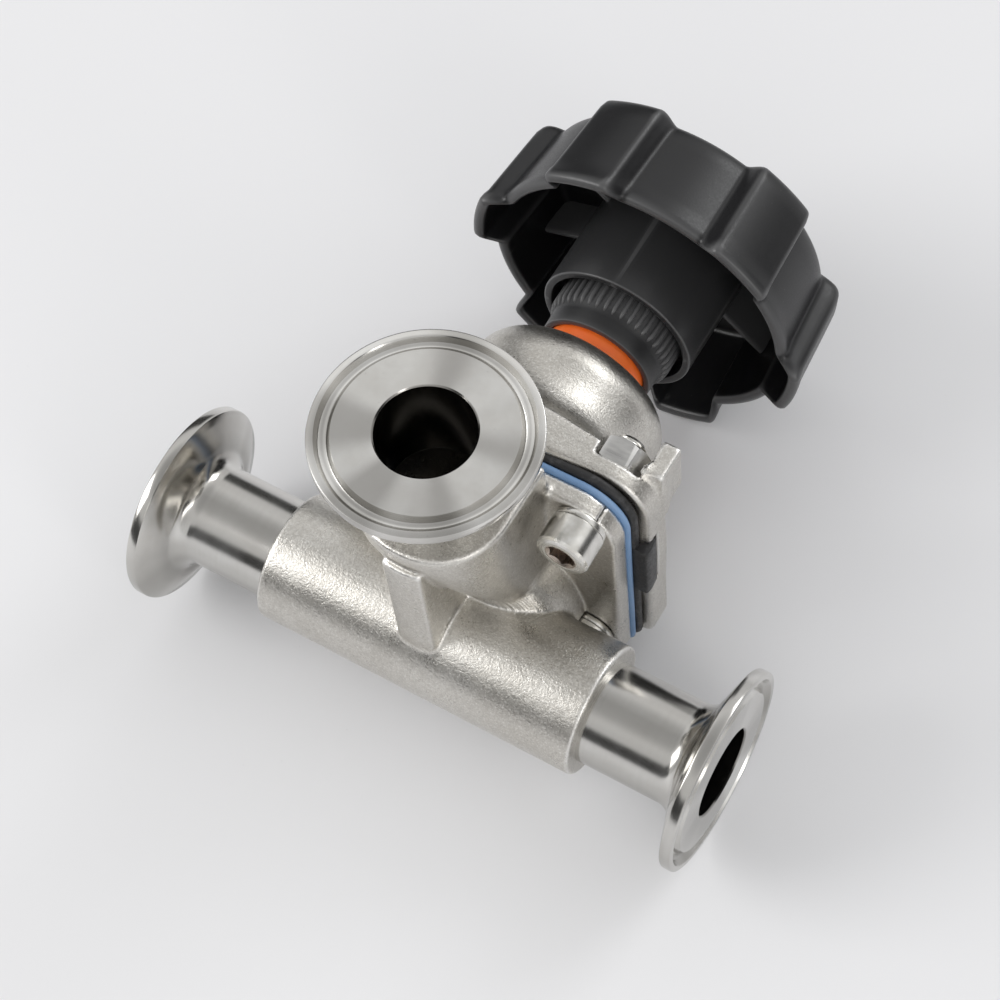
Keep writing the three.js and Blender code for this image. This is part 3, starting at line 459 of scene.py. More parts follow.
def floor_finish():
    f = Finish("studio_floor")
    f.set(Roughness=0.6, Specular_IOR_Level=0.25)
    cloud = f.noise(1.6, 2.0, 0.5)
    speck = f.cells(120.0)
    base = f.blend(f.ramp(cloud, 0.3, 0.7), (0.775, 0.775, 0.79), (0.80, 0.80, 0.812))
    colour = f.blend(f.ramp(speck, 0.012, 0.02, 0.25, 0.0), base, (0.45, 0.45, 0.46))
    return f.done(colour)


# ------------------------------------------------------------------ meshes
def mesh_object(name, vertices, faces, finish, smooth=True):
    """A new object at the origin from points in metres."""
    mesh = bpy.data.meshes.new(name)
    mesh.from_pydata([tuple(v) for v in vertices], [], [tuple(f) for f in faces])
    mesh.update()
    mesh.materials.append(finish)
    if smooth:
        mesh.shade_smooth()
    obj = bpy.data.objects.new(name, mesh)
    bpy.context.scene.collection.objects.link(obj)
    return obj


def turned(profile, around=96, closed=True):
    """Vertices and faces of a profile of (radius, height) turned about Y, as numpy arrays in mm."""
    ring = np.array(profile, float)
    angle = np.arange(around) * 2 * math.pi / around
    r = ring[:, 0][:, None]
    points = np.stack([r * np.cos(angle), np.repeat(ring[:, 1][:, None], around, 1), r * np.sin(angle)], -1)
    count = len(ring)
    faces = []
    for i in range(count if closed else count - 1):
        j = (i + 1) % count
        for k in range(around):
            n = (k + 1) % around
            faces.append((i * around + k, j * around + k, j * around + n, i * around + n))
    return points.reshape(-1, 3), faces


def cleaned(obj):
    """Merges doubled points, drops empty faces and points every face outwards."""
    work = bmesh.new()
    work.from_mesh(obj.data)
    bmesh.ops.remove_doubles(work, verts=work.verts, dist=1e-7)
    bmesh.ops.dissolve_degenerate(work, edges=work.edges, dist=1e-8)
    bmesh.ops.recalc_face_normals(work, faces=work.faces)
    work.to_mesh(obj.data)
    work.free()
    return obj


def rounded_corners(profile, radius, steps=4):
    """A closed profile with each corner rounded by up to radius."""
    points = [np.array(p, float) for p in profile]
    out = []
    for i, here in enumerate(points):
        before, after = points[i - 1] - here, points[(i + 1) % len(points)] - here
        reach_b, reach_a = np.linalg.norm(before), np.linalg.norm(after)
        give = min(radius, reach_b * 0.45, reach_a * 0.45)
        start, end = here + before / reach_b * give, here + after / reach_a * give
        for s in range(steps + 1):
            t = s / steps
            out.append(tuple((1 - t) ** 2 * start + 2 * t * (1 - t) * here + t * t * end))
    return out


def to_place(points, kind="stem", centre=(0.0, 0.0)):
    """Moves points turned about Y to the stem, the run (X), the branch (Z) or a screw place."""
    p = np.array(points, float)
    if kind == "stem":
        p = p + (centre[0], 0.0, STEM_Z + centre[1])
    elif kind == "run":
        p = np.stack([p[:, 1], p[:, 0], p[:, 2]], -1)
    elif kind == "branch":
        p = np.stack([p[:, 0], p[:, 2] + BRANCH_Y, p[:, 1]], -1)
    elif kind == "screw":
        p = p + (centre[0], 0.0, centre[1])
    return p * MM + np.array(ORIGIN)


# ------------------------------------------------------------------ blended solids
def smin(a, b, k):
    """Union of two distances with a fillet of about k."""
    h = np.maximum(k - np.abs(a - b), 0.0) / k
    return np.minimum(a, b) - h * h * k * 0.25


def smax(a, b, k):
    return -smin(-a, -b, k)


def length2(a, b):
    return np.sqrt(a * a + b * b)


def rounded_box2(u, v, half_u, half_v, corner):
    qu, qv = np.abs(u) - (half_u - corner), np.abs(v) - (half_v - corner)
    return length2(np.maximum(qu, 0), np.maximum(qv, 0)) + np.minimum(np.maximum(qu, qv), 0) - corner


def flange_outline(x, z, half_x, half_z, corner):
    """Distance to the bolted flange seen along the stem: rounded above, longer and squarer below."""
    lower = z < STEM_Z
    middle = np.where(lower, STEM_Z - FLANGE_DROP / 2, STEM_Z)
    tall = np.where(lower, half_z + FLANGE_DROP / 2, half_z)
    rounding = np.where(lower, LOWER_CORNER, corner)
    return rounded_box2(x, z - middle, half_x, tall, rounding)


def rod(p, a, b, radius):
    """Distance to a round-ended bar from a to b."""
    a, b = np.array(a, float), np.array(b, float)
    d = b - a
    t = sum((p[i] - a[i]) * d[i] for i in range(3)) / float(d @ d)
    t = np.clip(t, 0, 1)
    return np.sqrt(sum((p[i] - a[i] - t * d[i]) ** 2 for i in range(3))) - radius


def solid_from(field, low, high, step, passes=2):
    """Points and faces of the surface where field is 0, laid on a grid and drawn onto the surface."""
    axes = [np.arange(l, h + step, step, dtype=np.float32) for l, h in zip(low, high)]
    grid = np.meshgrid(*axes, indexing="ij")
    value = field(*grid).astype(np.float32)
    inside = value < 0
    n = np.array(value.shape) - 1
    total = np.zeros((*n, 3), np.float32)
    count = np.zeros(n, np.float32)

    def part(array, offset):
        return array[tuple(slice(o, o + m) for o, m in zip(offset, n))]

    for axis in range(3):
        others = [i for i in range(3) if i != axis]
        for corner in range(4):
            offset = [0, 0, 0]
            offset[others[0]], offset[others[1]] = corner & 1, corner >> 1
            start = part(value, offset)
            far = list(offset)
            far[axis] += 1
            end = part(value, far)
            crossing = (start < 0) != (end < 0)
            share = np.where(crossing, start / np.where(crossing, start - end, 1), 0)
            for i in range(3):
                total[..., i] += np.where(crossing, offset[i] + (share if i == axis else 0), 0)
            count += crossing
    used = count > 0
    index = np.full(n, -1, np.int64)
    index[used] = np.arange(int(used.sum()))
    cell = np.argwhere(used).astype(np.float32)
    points = (cell + total[used] / count[used][:, None]) * step + np.array(low, np.float32)
    faces = []
    for axis in range(3):
        u, v = [i for i in range(3) if i != axis]
        near = [slice(1, -1)] * 3
        near[axis] = slice(0, -1)
        beyond = list(near)
        beyond[axis] = slice(1, None)
        a, b = inside[tuple(near)], inside[tuple(beyond)]
        where = np.argwhere(a != b)
        outward = a[a != b]
        base = where.copy()
        base[:, u] += 1
        base[:, v] += 1

        def cells(du, dv):
            c = base.copy()
            c[:, u] -= du
            c[:, v] -= dv
            return index[c[:, 0], c[:, 1], c[:, 2]]

        quad = np.stack([cells(1, 1), cells(0, 1), cells(0, 0), cells(1, 0)], -1)
        turn = outward if axis != 1 else ~outward
        quad[~turn] = quad[~turn][:, ::-1]
        faces.append(quad)
    faces = np.concatenate(faces)
    reach = step * 0.5
    nudge = 0.05
    least_slope = 0.05
    for _ in range(passes):
        x, y, z = points[:, 0], points[:, 1], points[:, 2]
        here = field(x, y, z)
        slope = np.stack([
            field(x + nudge, y, z) - field(x - nudge, y, z),
            field(x, y + nudge, z) - field(x, y - nudge, z),
            field(x, y, z + nudge) - field(x, y, z - nudge),
        ], -1) / (2 * nudge)
        steep = np.maximum((slope ** 2).sum(-1), least_slope)
        move = slope * (here / steep)[:, None]
        size = np.maximum(np.linalg.norm(move, axis=1), 1e-9)
        points = points - move * np.minimum(1, reach / size)[:, None]
    return points, faces


def moulded(name, field, low, high, finish, step=0.6):
    """The piece whose surface is where field is 0, between the corners low and high."""
    points, faces = solid_from(field, low, high, step)
    mesh = bpy.data.meshes.new(name)
    mesh.vertices.add(len(points))
    mesh.vertices.foreach_set("co", (points * MM + np.array(ORIGIN)).astype(np.float32).ravel())
    mesh.loops.add(faces.size)
    mesh.loops.foreach_set("vertex_index", faces.astype(np.int32).ravel())
    mesh.polygons.add(len(faces))
    mesh.polygons.foreach_set("loop_start", np.arange(0, faces.size, 4, dtype=np.int32))
    mesh.update(calc_edges=True)
    mesh.validate()
    mesh.materials.append(finish)
    mesh.shade_smooth()
    obj = bpy.data.objects.new(name, mesh)
    bpy.context.scene.collection.objects.link(obj)
    return obj


def settled(obj):
    """Turns the modifiers' result into the object's own plain mesh."""
    depsgraph = bpy.context.evaluated_depsgraph_get()
    made = bpy.data.meshes.new_from_object(obj.evaluated_get(depsgraph))
    obj.modifiers.clear()
    old = obj.data
    obj.data = made
    made.name = obj.name
    bpy.data.meshes.remove(old)
    return obj


# ------------------------------------------------------------------ the body and the bonnet
# Under side of the bowl: how low it reaches (z) at each place along the stem (y).
BOWL_LINE = [
    (-30, 78.0), (-20, 64.0), (-9.4, 46.5), (-2, 32.0), (6, 17.5), (12, 9.0), (18, 1.5), (24, -4.0),
    (40, -20),
]
BOWL_SLANT = 0.58


def body_field(x, y, z):
    """Distance to the machined body: run block, boss, bowl, rib, throat and flange, less its holes."""
    round_run = length2(y, z)
    round_branch = length2(x, y - BRANCH_Y)
    block = smax(round_run - BLOCK_R, np.abs(x) - BLOCK_HALF, 0.8)
    outline = np.where(y < BRANCH_Y, round_branch, np.abs(x)) - BOSS_R
    boss = smax(outline, z - BOSS_TOP, 1.5)
    line_y = [p[0] for p in BOWL_LINE]
    line_z = [p[1] for p in BOWL_LINE]
    under = (np.interp(y, line_y, line_z) - z) * BOWL_SLANT
    bowl = smax(smax(boss, under, 8.0), y - BOWL_BACK, 1.0)
    rib = smax(smax(smax(boss, np.abs(x) - RIB_HALF, 0.9), RIB_LOW - z, 1.0), z - RIB_HIGH, 1.0)
    rib = smax(rib, y - RIB_BACK, 1.0)
    u, v = length2(x, z) - (THROAT_R - THROAT_ROUND), (THROAT_FRONT + THROAT_ROUND) - y
    throat = length2(np.maximum(u, 0), np.maximum(v, 0)) + np.minimum(np.maximum(u, v), 0) - THROAT_ROUND
    throat = smax(smax(throat, THROAT_LOW - z, 3.0), y - BOWL_BACK, 1.0)
    face = flange_outline(x, z, *BODY_FLANGE)
    flange = smax(smax(face, y - FLANGE_BACK, 0.6), FLANGE_FRONT - y, 1.2)
    solid = smin(smin(bowl, flange, 2.0), throat, 1.0)
    solid = smin(solid, block, 0.9)
    solid = smin(solid, rib, 0.9)
    tools = round_run - BORE_R
    branch = smax(round_branch - BORE_R, BRANCH_BORE_END - z, 1.0)
    way_in = rod((x, y, z), (0, 2, 0), (0, PASSAGE_BACK, 7.3), PASSAGE_R)
    way_out = rod((x, y, z), (0, BRANCH_Y, 40.5), (0, PASSAGE_BACK, 26.7), PASSAGE_R)
    dish = length2(x, z - STEM_Z) - DISH_R + np.maximum(FLANGE_BACK - y, 0) * 1.1
    dish = smax(dish, WEIR_TOP - y, 0.8)
    tools = smin(smin(smin(tools, branch, 0.8), smin(way_in, way_out, 0.5), 1.0), dish, 0.8)
    for sx, sz in SCREW_PLACES:
        off = length2(x - sx, z - sz)
        hole = np.where(y > 15, off - SCREW_HOLE_R, 50.0)
        pocket = smax(smax(off - HEAD_POCKET_R, y - FLANGE_FRONT, 0.6), HEAD_POCKET_FRONT - y, 0.6)
        tools = np.minimum(tools, np.minimum(hole, pocket))
    return smax(solid, -tools, 0.45)


def bonnet_field(x, y, z):
    """Distance to the bonnet: flange, dome, ear and neck, less mouth, pockets, notch and cavity."""
    off = length2(x, z - STEM_Z)
    face = flange_outline(x, z, *BONNET_FLANGE)
    flange = smax(smax(face, y - BONNET_BACK, 1.4), BACKING_BACK - y, 1.2)
    dr = np.maximum(off - (DOME_R - CROWN_R), 0) / CROWN_R
    dy = np.maximum(y - DOME_SHOULDER, 0) / CROWN_RISE
    crown = (np.sqrt(dr * dr + dy * dy) - 1.0) * CROWN_R
    dome = np.where(y < DOME_SHOULDER, off - DOME_R, np.maximum(crown, y - DOME_TOP))
    dome = smax(dome, 32.0 - y, 1.0)
    solid = smin(flange, dome, 17.0)
    past_x, past_y, past_z = (np.abs(p - m) - h for p, m, h in zip((x, y, z), EAR_MIDDLE, EAR_HALF))
    solid = smin(solid, smax(smax(past_x, past_y, 0.8), past_z, 0.8), 2.5)
    neck = smax(off - NECK_R, y - NECK_TOP, 0.6)
    solid = smin(solid, neck, 0.4)
    tools = smax(smax(off - MOUTH_R, MOUTH_FLOOR - y, 0.5), NECK_R - off, 0.3)
    for sx, sz in SCREW_PLACES:
        at = length2(x - sx, z - sz)
        pocket = smax(at - NUT_POCKET_R, NUT_SEAT - y, 0.5)
        tools = np.minimum(tools, np.minimum(pocket, at - SCREW_HOLE_R))
    beside = np.abs(z - STEM_Z)
    notch = smax(smax(NOTCH_X - x, beside - NOTCH_HALF, 0.3), y - NOTCH_BACK, 0.3)
    inside = smax(off - CAVITY_R, y - CAVITY_TOP, 2.0)
    slots = smax(smax(beside - SLOT_HALF, np.abs(x) - SLOT_REACH, 0.3), y - SLOT_TOP, 0.5)
    seat = np.minimum(smax(off - BUSH_SEAT_R, y - BUSH_SEAT_TOP, 0.3), off - SPINDLE_HOLE_R)
    tools = np.minimum(np.minimum(tools, notch), np.minimum(inside, np.minimum(slots, seat)))
    return smax(solid, -tools, 0.4)


# ------------------------------------------------------------------ geometry node trees
class Tree:
    """A geometry node tree with named inputs, and short calls for its nodes."""

    def __init__(self, name, inputs):
        self.group = bpy.data.node_groups.new(name, "GeometryNodeTree")
        face = self.group.interface
        face.new_socket("Geometry", in_out="INPUT", socket_type="NodeSocketGeometry")
        self.named = {}
        for label, kind in inputs:
            self.named[label] = face.new_socket(label, in_out="INPUT", socket_type=kind).identifier
        face.new_socket("Geometry", in_out="OUTPUT", socket_type="NodeSocketGeometry")
        self.start = self.group.nodes.new("NodeGroupInput")
        self.end = self.group.nodes.new("NodeGroupOutput")

    def node(self, kind, **settings):
        made = self.group.nodes.new(kind)
        for key, value in settings.items():
            setattr(made, key, value)
        return made

    def feed(self, socket, value):
        if isinstance(value, bpy.types.NodeSocket):
            self.group.links.new(value, socket)
        else:
            socket.default_value = value

    def given(self, label):
        return self.start.outputs[label]

    def math(self, kind, a, b=0.0, c=0.0):
        made = self.node("ShaderNodeMath", operation=kind)
        for socket, value in zip(made.inputs, (a, b, c)):
            self.feed(socket, value)
        return made.outputs[0]

    def finish(self, geometry, material):
        whole = self.node("GeometryNodeRealizeInstances")
        self.feed(whole.inputs[0], geometry)
        paint = self.node("GeometryNodeSetMaterial")
        self.feed(paint.inputs["Geometry"], whole.outputs[0])
        self.feed(paint.inputs["Material"], material)
        self.feed(self.end.inputs[0], paint.outputs[0])

    def run_on(self, obj, **values):
        """Puts the tree on an object with its inputs set, and keeps the plain result."""
        grown = obj.modifiers.new(self.group.name, "NODES")
        grown.node_group = self.group
        for label, value in values.items():
            grown[self.named[label.replace("_", " ")]] = value
        obj.update_tag()
        bpy.context.view_layer.update()
        return settled(obj)


def repeat_at_points_tree():
    """Sets a copy of the piece on each point of a guide object."""
    t = Tree("fasteners_on_places", [("Places", "NodeSocketObject"), ("Finish", "NodeSocketMaterial")])
    places = t.node("GeometryNodeObjectInfo", transform_space="ORIGINAL")
    t.feed(places.inputs["Object"], t.given("Places"))
    copies = t.node("GeometryNodeInstanceOnPoints")
    t.feed(copies.inputs["Points"], places.outputs["Geometry"])
    t.feed(copies.inputs["Instance"], t.given("Geometry"))
    t.finish(copies.outputs["Instances"], t.given("Finish"))
    return t


def ring_of_copies_tree():
    """Sets copies of the piece round the stem axis, evenly spaced from a first angle."""
    t = Tree("copies_round_stem", [
        ("Count", "NodeSocketInt"), ("First Angle", "NodeSocketFloat"), ("Finish", "NodeSocketMaterial")])
    line = t.node("GeometryNodeMeshLine", mode="OFFSET")
    t.feed(line.inputs["Count"], t.given("Count"))
    t.feed(line.inputs["Offset"], (0.0, 0.0, 0.0))
    order = t.node("GeometryNodeInputIndex")
    turn = t.math("DIVIDE", order.outputs[0], t.given("Count"))
    turn = t.math("MULTIPLY", turn, -2 * math.pi)
    turn = t.math("SUBTRACT", turn, t.given("First Angle"))
    spin = t.node("ShaderNodeCombineXYZ")
    t.feed(spin.inputs["Y"], turn)
    copies = t.node("GeometryNodeInstanceOnPoints")
    t.feed(copies.inputs["Points"], line.outputs["Mesh"])
    t.feed(copies.inputs["Instance"], t.given("Geometry"))
    t.feed(copies.inputs["Rotation"], spin.outputs[0])
    t.finish(copies.outputs["Instances"], t.given("Finish"))
    return t


def lobed_wheel_tree():
    """Swells a turned shell outwards in evenly spaced lobes, and drops its rim under each lobe."""
    t = Tree("lobed_wheel", [
        ("Lobe Count", "NodeSocketInt"), ("Lobe Height", "NodeSocketFloat"), ("Rim Drop", "NodeSocketFloat"),
        ("Flat Half Angle", "NodeSocketFloat"), ("Foot Half Angle", "NodeSocketFloat"),
        ("First Angle", "NodeSocketFloat"), ("Finish", "NodeSocketMaterial")])
    place = t.node("GeometryNodeInputPosition")
    parts = t.node("ShaderNodeSeparateXYZ")
    t.feed(parts.inputs[0], place.outputs[0])
    angle = t.math("ARCTAN2", parts.outputs["Z"], parts.outputs["X"])
    angle = t.math("SUBTRACT", angle, t.given("First Angle"))
    half_pitch = t.math("DIVIDE", math.pi, t.given("Lobe Count"))
    folded = t.math("WRAP", angle, half_pitch, t.math("MULTIPLY", half_pitch, -1.0))
    folded = t.math("ABSOLUTE", folded)
    swell = t.node("ShaderNodeMapRange", interpolation_type="SMOOTHERSTEP")
    t.feed(swell.inputs["Value"], folded)
    t.feed(swell.inputs["From Min"], t.given("Foot Half Angle"))
    t.feed(swell.inputs["From Max"], t.given("Flat Half Angle"))
    share = t.node("GeometryNodeInputNamedAttribute", data_type="FLOAT")
    share.inputs["Name"].default_value = "lobe_share"
    rim = t.node("GeometryNodeInputNamedAttribute", data_type="FLOAT")
    rim.inputs["Name"].default_value = "rim_share"
    outward = t.math(
        "MULTIPLY", t.math("MULTIPLY", swell.outputs["Result"], share.outputs[0]), t.given("Lobe Height"))
    flat = t.node("ShaderNodeCombineXYZ")
    t.feed(flat.inputs["X"], parts.outputs["X"])
    t.feed(flat.inputs["Z"], parts.outputs["Z"])
    unit = t.node("ShaderNodeVectorMath", operation="NORMALIZE")
    t.feed(unit.inputs[0], flat.outputs[0])
    push = t.node("ShaderNodeVectorMath", operation="SCALE")
    t.feed(push.inputs[0], unit.outputs[0])
    t.feed(push.inputs["Scale"], outward)
    drop = t.math(
        "MULTIPLY", t.math("MULTIPLY", swell.outputs["Result"], rim.outputs[0]), t.given("Rim Drop"))
    down = t.node("ShaderNodeCombineXYZ")
    t.feed(down.inputs["Y"], t.math("MULTIPLY", drop, -1.0))
    both = t.node("ShaderNodeVectorMath", operation="ADD")
    t.feed(both.inputs[0], push.outputs[0])
    t.feed(both.inputs[1], down.outputs[0])
    moved = t.node("GeometryNodeSetPosition")
    t.feed(moved.inputs["Geometry"], t.given("Geometry"))
    t.feed(moved.inputs["Offset"], both.outputs[0])
    t.finish(moved.outputs["Geometry"], t.given("Finish"))
    return t


# ------------------------------------------------------------------ pieces
def ferrule_profile(length):
    """Closed profile of a clamp ferrule, heights measured back from the sealing face."""
    fillet_r, fillet_foot, fillet_from, steps = 5.3, -10.3, 111, 8
    fillet = []
    for s in range(steps + 1):
        a = math.radians(fillet_from + (180 - fillet_from) * s / steps)
        out, up = fillet_r * (1 + math.cos(a)), fillet_r * math.sin(a) * 0.93
        fillet.append((PIPE_R + 0.02 + out, fillet_foot + up))
    groove = [
        (20.1, 0), (20.55, -0.75), (21.0, -1.4), (21.5, -1.62), (22.2, -1.62), (22.7, -1.4),
        (23.15, -0.75), (23.6, 0),
    ]
    face = [(BORE_R, -length), (BORE_R, -0.35), (BORE_R + 0.35, 0)]
    rim = [(FERRULE_R - 0.4, 0), (FERRULE_R - 0.12, -0.12), (FERRULE_R, -0.4)]
    back = [(FERRULE_R, -2.3), (FERRULE_R - 0.1, -2.62), (FERRULE_R - 0.35, -2.85), (17.2, -5.6)]
    return face + groove + rim + back + fillet + [(PIPE_R, -length)]


def ferrule(name, node, length, kind, face_at, way, finish):
    points, faces = turned(ferrule_profile(length), 128)
    points[:, 1] = (points[:, 1] + face_at) * way
    obj = mesh_object(name, to_place(points, kind), faces, finish)
    cleaned(obj)
    edge_shade(obj, 24)
    return held(obj, "valve", "polished_steel", node)


def edge_shade(obj, degrees_limit):
    """Smooth shading that stays crisp over real corners."""
    obj.data.shade_smooth()
    work = bmesh.new()
    work.from_mesh(obj.data)
    limit = math.radians(degrees_limit)
    for edge in work.edges:
        edge.smooth = len(edge.link_faces) == 2 and edge.calc_face_angle(0.0) < limit
    work.to_mesh(obj.data)
    work.free()


def held(obj, body, slot, *nodes):
    """A finished piece: rides on its body and stands for its CAD nodes."""
    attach(obj, body)
    if nodes:
        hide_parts(*nodes)
    return obj


def hex_cutter(radius, low, high, name):
    work = bmesh.new()
    bmesh.ops.create_circle(work, cap_ends=True, segments=6, radius=radius)
    for v in work.verts:
        v.co = Vector((v.co.x, low, v.co.y))
    grown = bmesh.ops.extrude_face_region(work, geom=work.faces[:])
    for v in grown["geom"]:
        if isinstance(v, bmesh.types.BMVert):
            v.co.y = high
    bmesh.ops.recalc_face_normals(work, faces=work.faces)
    mesh = bpy.data.meshes.new(name)
    work.to_mesh(mesh)
    work.free()
    obj = bpy.data.objects.new(name, mesh)
    bpy.context.scene.collection.objects.link(obj)
    return obj


def combined(obj, other, how):
    """One boolean step; the other object is used up."""
    step = obj.modifiers.new("joined", "BOOLEAN")
    step.operation = how
    step.solver = "EXACT"
    step.object = other
    settled(obj)
    bpy.data.objects.remove(other)
    return obj


def raw_turned(name, profile, around=64):
    points, faces = turned(profile, around)
    return cleaned(mesh_object(name, points, faces, FINISH["screw"]))


def lofted_faces(rows, ring):
    """Side faces between rows of ring points each, with an end face on the first and last row."""
    faces = []
    for i in range(rows - 1):
        for j in range(ring):
            n = (j + 1) % ring
            faces.append((i * ring + j, i * ring + n, (i + 1) * ring + n, (i + 1) * ring + j))
    faces.append(tuple(range(ring)))
    faces.append(tuple(reversed(range((rows - 1) * ring, rows * ring))))
    return faces


def cap_screw_master():
    """One hexagon socket cap screw about the origin, in drawn heights, thread cut on its end."""
    head_high = FLANGE_FRONT - WASHER_H
    head_low = head_high - 8.0
    shank_r, head_r, thread_r = 4.0, 6.5, 3.9
    thread_start, thread_end, tip = 38.0, 43.8, 44.6
    pitch, thread_depth = 1.25, 0.55
    around, rows = 48, 8
    profile = [
        (0.0, head_low), (4.3, head_low), (5.5, head_low), (6.1, head_low + 0.25), (head_r, head_low + 0.9),
        (head_r, head_high - 0.3), (6.25, head_high), (shank_r, head_high), (shank_r, thread_start - 0.4),
    ]
    reach = thread_end - thread_start
    count = int(reach / pitch * rows)
    rings = profile + [(thread_r, thread_start + reach * i / count) for i in range(count + 1)]
    rings += [(3.3, tip), (0.0, tip)]
    points, faces = turned(rings, around)
    first, last = len(profile), len(profile) + count
    for i in range(first, last + 1):
        fade = min(1.0, (i - first) / rows, (last - i + 1) / rows)
        for k in range(around):
            v = points[i * around + k]
            wave = ((v[1] / pitch) - k / around) % 1.0
            depth = thread_depth * fade * (1 - abs(2 * wave - 1))
            scale = (thread_r + 0.05 - depth) / thread_r
            v[0] *= scale
            v[2] *= scale
    body = cleaned(mesh_object("cap_screw", points, faces, FINISH["screw"]))
    socket = hex_cutter(3.55, head_low - 1, head_low + 4.2, "socket")
    drill = raw_turned("drill", [
        (0, head_low + 3.5), (3.0, head_low + 3.5), (3.0, head_low + 4.3), (0, head_low + 5.6)], 32)
    lead = raw_turned(
        "lead", [(0, head_low - 1), (4.75, head_low - 1), (3.0, head_low + 0.75), (0, head_low + 0.75)], 48)
    for cutter in (socket, drill, lead):
        combined(body, cutter, "DIFFERENCE")
    edge_shade(body, 28)
    return body


def lock_washer_master():
    """A split ring whose two ends stand slightly apart."""
    low, high = FLANGE_FRONT - WASHER_H + 0.05, FLANGE_FRONT - 0.05
    inner_r, outer_r = 4.25, 6.3
    around = 90
    gap_at, gap = math.radians(200), math.radians(10)
    section = rounded_corners([(inner_r, low), (outer_r, low), (outer_r, high), (inner_r, high)], 0.25, 2)
    points = []
    for i in range(around + 1):
        a = gap_at + gap / 2 + (2 * math.pi - gap) * i / around
        for r, h in section:
            points.append((r * math.cos(a), h, r * math.sin(a)))
    faces = lofted_faces(around + 1, len(section))
    obj = cleaned(mesh_object("lock_washer", points, faces, FINISH["screw"]))
    edge_shade(obj, 30)
    return obj


def hex_nut_master():
    """A nut chamfered on both ends, with a plain bore that is wider at its ends."""
    low, high = NUT_SEAT, NUT_SEAT + 6.5
    nut = hex_cutter(7.3, low, high, "hex_nut")
    nut.data.materials.append(FINISH["nut"])
    c, s = math.cos(math.pi / 6), math.sin(math.pi / 6)
    for v in nut.data.vertices:
        v.co.x, v.co.z = v.co.x * c - v.co.z * s, v.co.x * s + v.co.z * c
    chamfer = raw_turned("chamfer", [
        (0, low - 0.1), (6.5, low - 0.1), (7.4, low + 0.7), (7.4, high - 0.9), (6.3, high + 0.1),
        (0, high + 0.1)], 72)
    combined(nut, chamfer, "INTERSECT")
    bore = raw_turned("bore", [
        (0, low - 1), (4.7, low - 1), (4.12, low + 0.5), (4.12, high - 0.5), (4.75, high + 1),
        (0, high + 1)], 48)
    combined(nut, bore, "DIFFERENCE")
    soften = nut.modifiers.new("soften", "BEVEL")
    soften.width = 0.14
    soften.segments = 2
    soften.angle_limit = math.radians(35)
    settled(nut)
    edge_shade(nut, 40)
    return nut


def fasteners():
    """Four screws, four lock washers and four nuts, each kind set on the four screw places."""
    places = bpy.data.meshes.new("screw_places")
    places.from_pydata([(x, 0.0, z) for x, z in SCREW_PLACES], [], [])
    guide = bpy.data.objects.new("screw_places", places)
    bpy.context.scene.collection.objects.link(guide)
    tree = repeat_at_points_tree()
    kinds = [
        (cap_screw_master(), "cap_screws", "cap_screw_", FINISH["screw"]),
        (lock_washer_master(), "lock_washers", "lock_washer_", FINISH["screw"]),
        (hex_nut_master(), "hex_nuts", "hex_nut_", FINISH["nut"]),
    ]
    for master, name, node, finish in kinds:
        master.name = name
        tree.run_on(master, Places=guide, Finish=finish)
        master.data.transform(to_cad())
        held(master, "valve", "screw_steel", *[f"{node}{i}" for i in range(1, 5)])
    bpy.data.objects.remove(guide)


def sheet_outline(outline, count):
    """Points round a bolted outline, evenly spread by angle from the stem."""
    out = []
    for i in range(count):
        a = 2 * math.pi * i / count
        dx, dz = math.cos(a), math.sin(a)
        low, high = 0.0, 80.0
        for _ in range(40):
            mid = (low + high) / 2
            if flange_outline(np.float64(dx * mid), np.float64(STEM_Z + dz * mid), *outline) < 0:
                low = mid
            else:
                high = mid
        out.append((dx * low, dz * low))
    return out


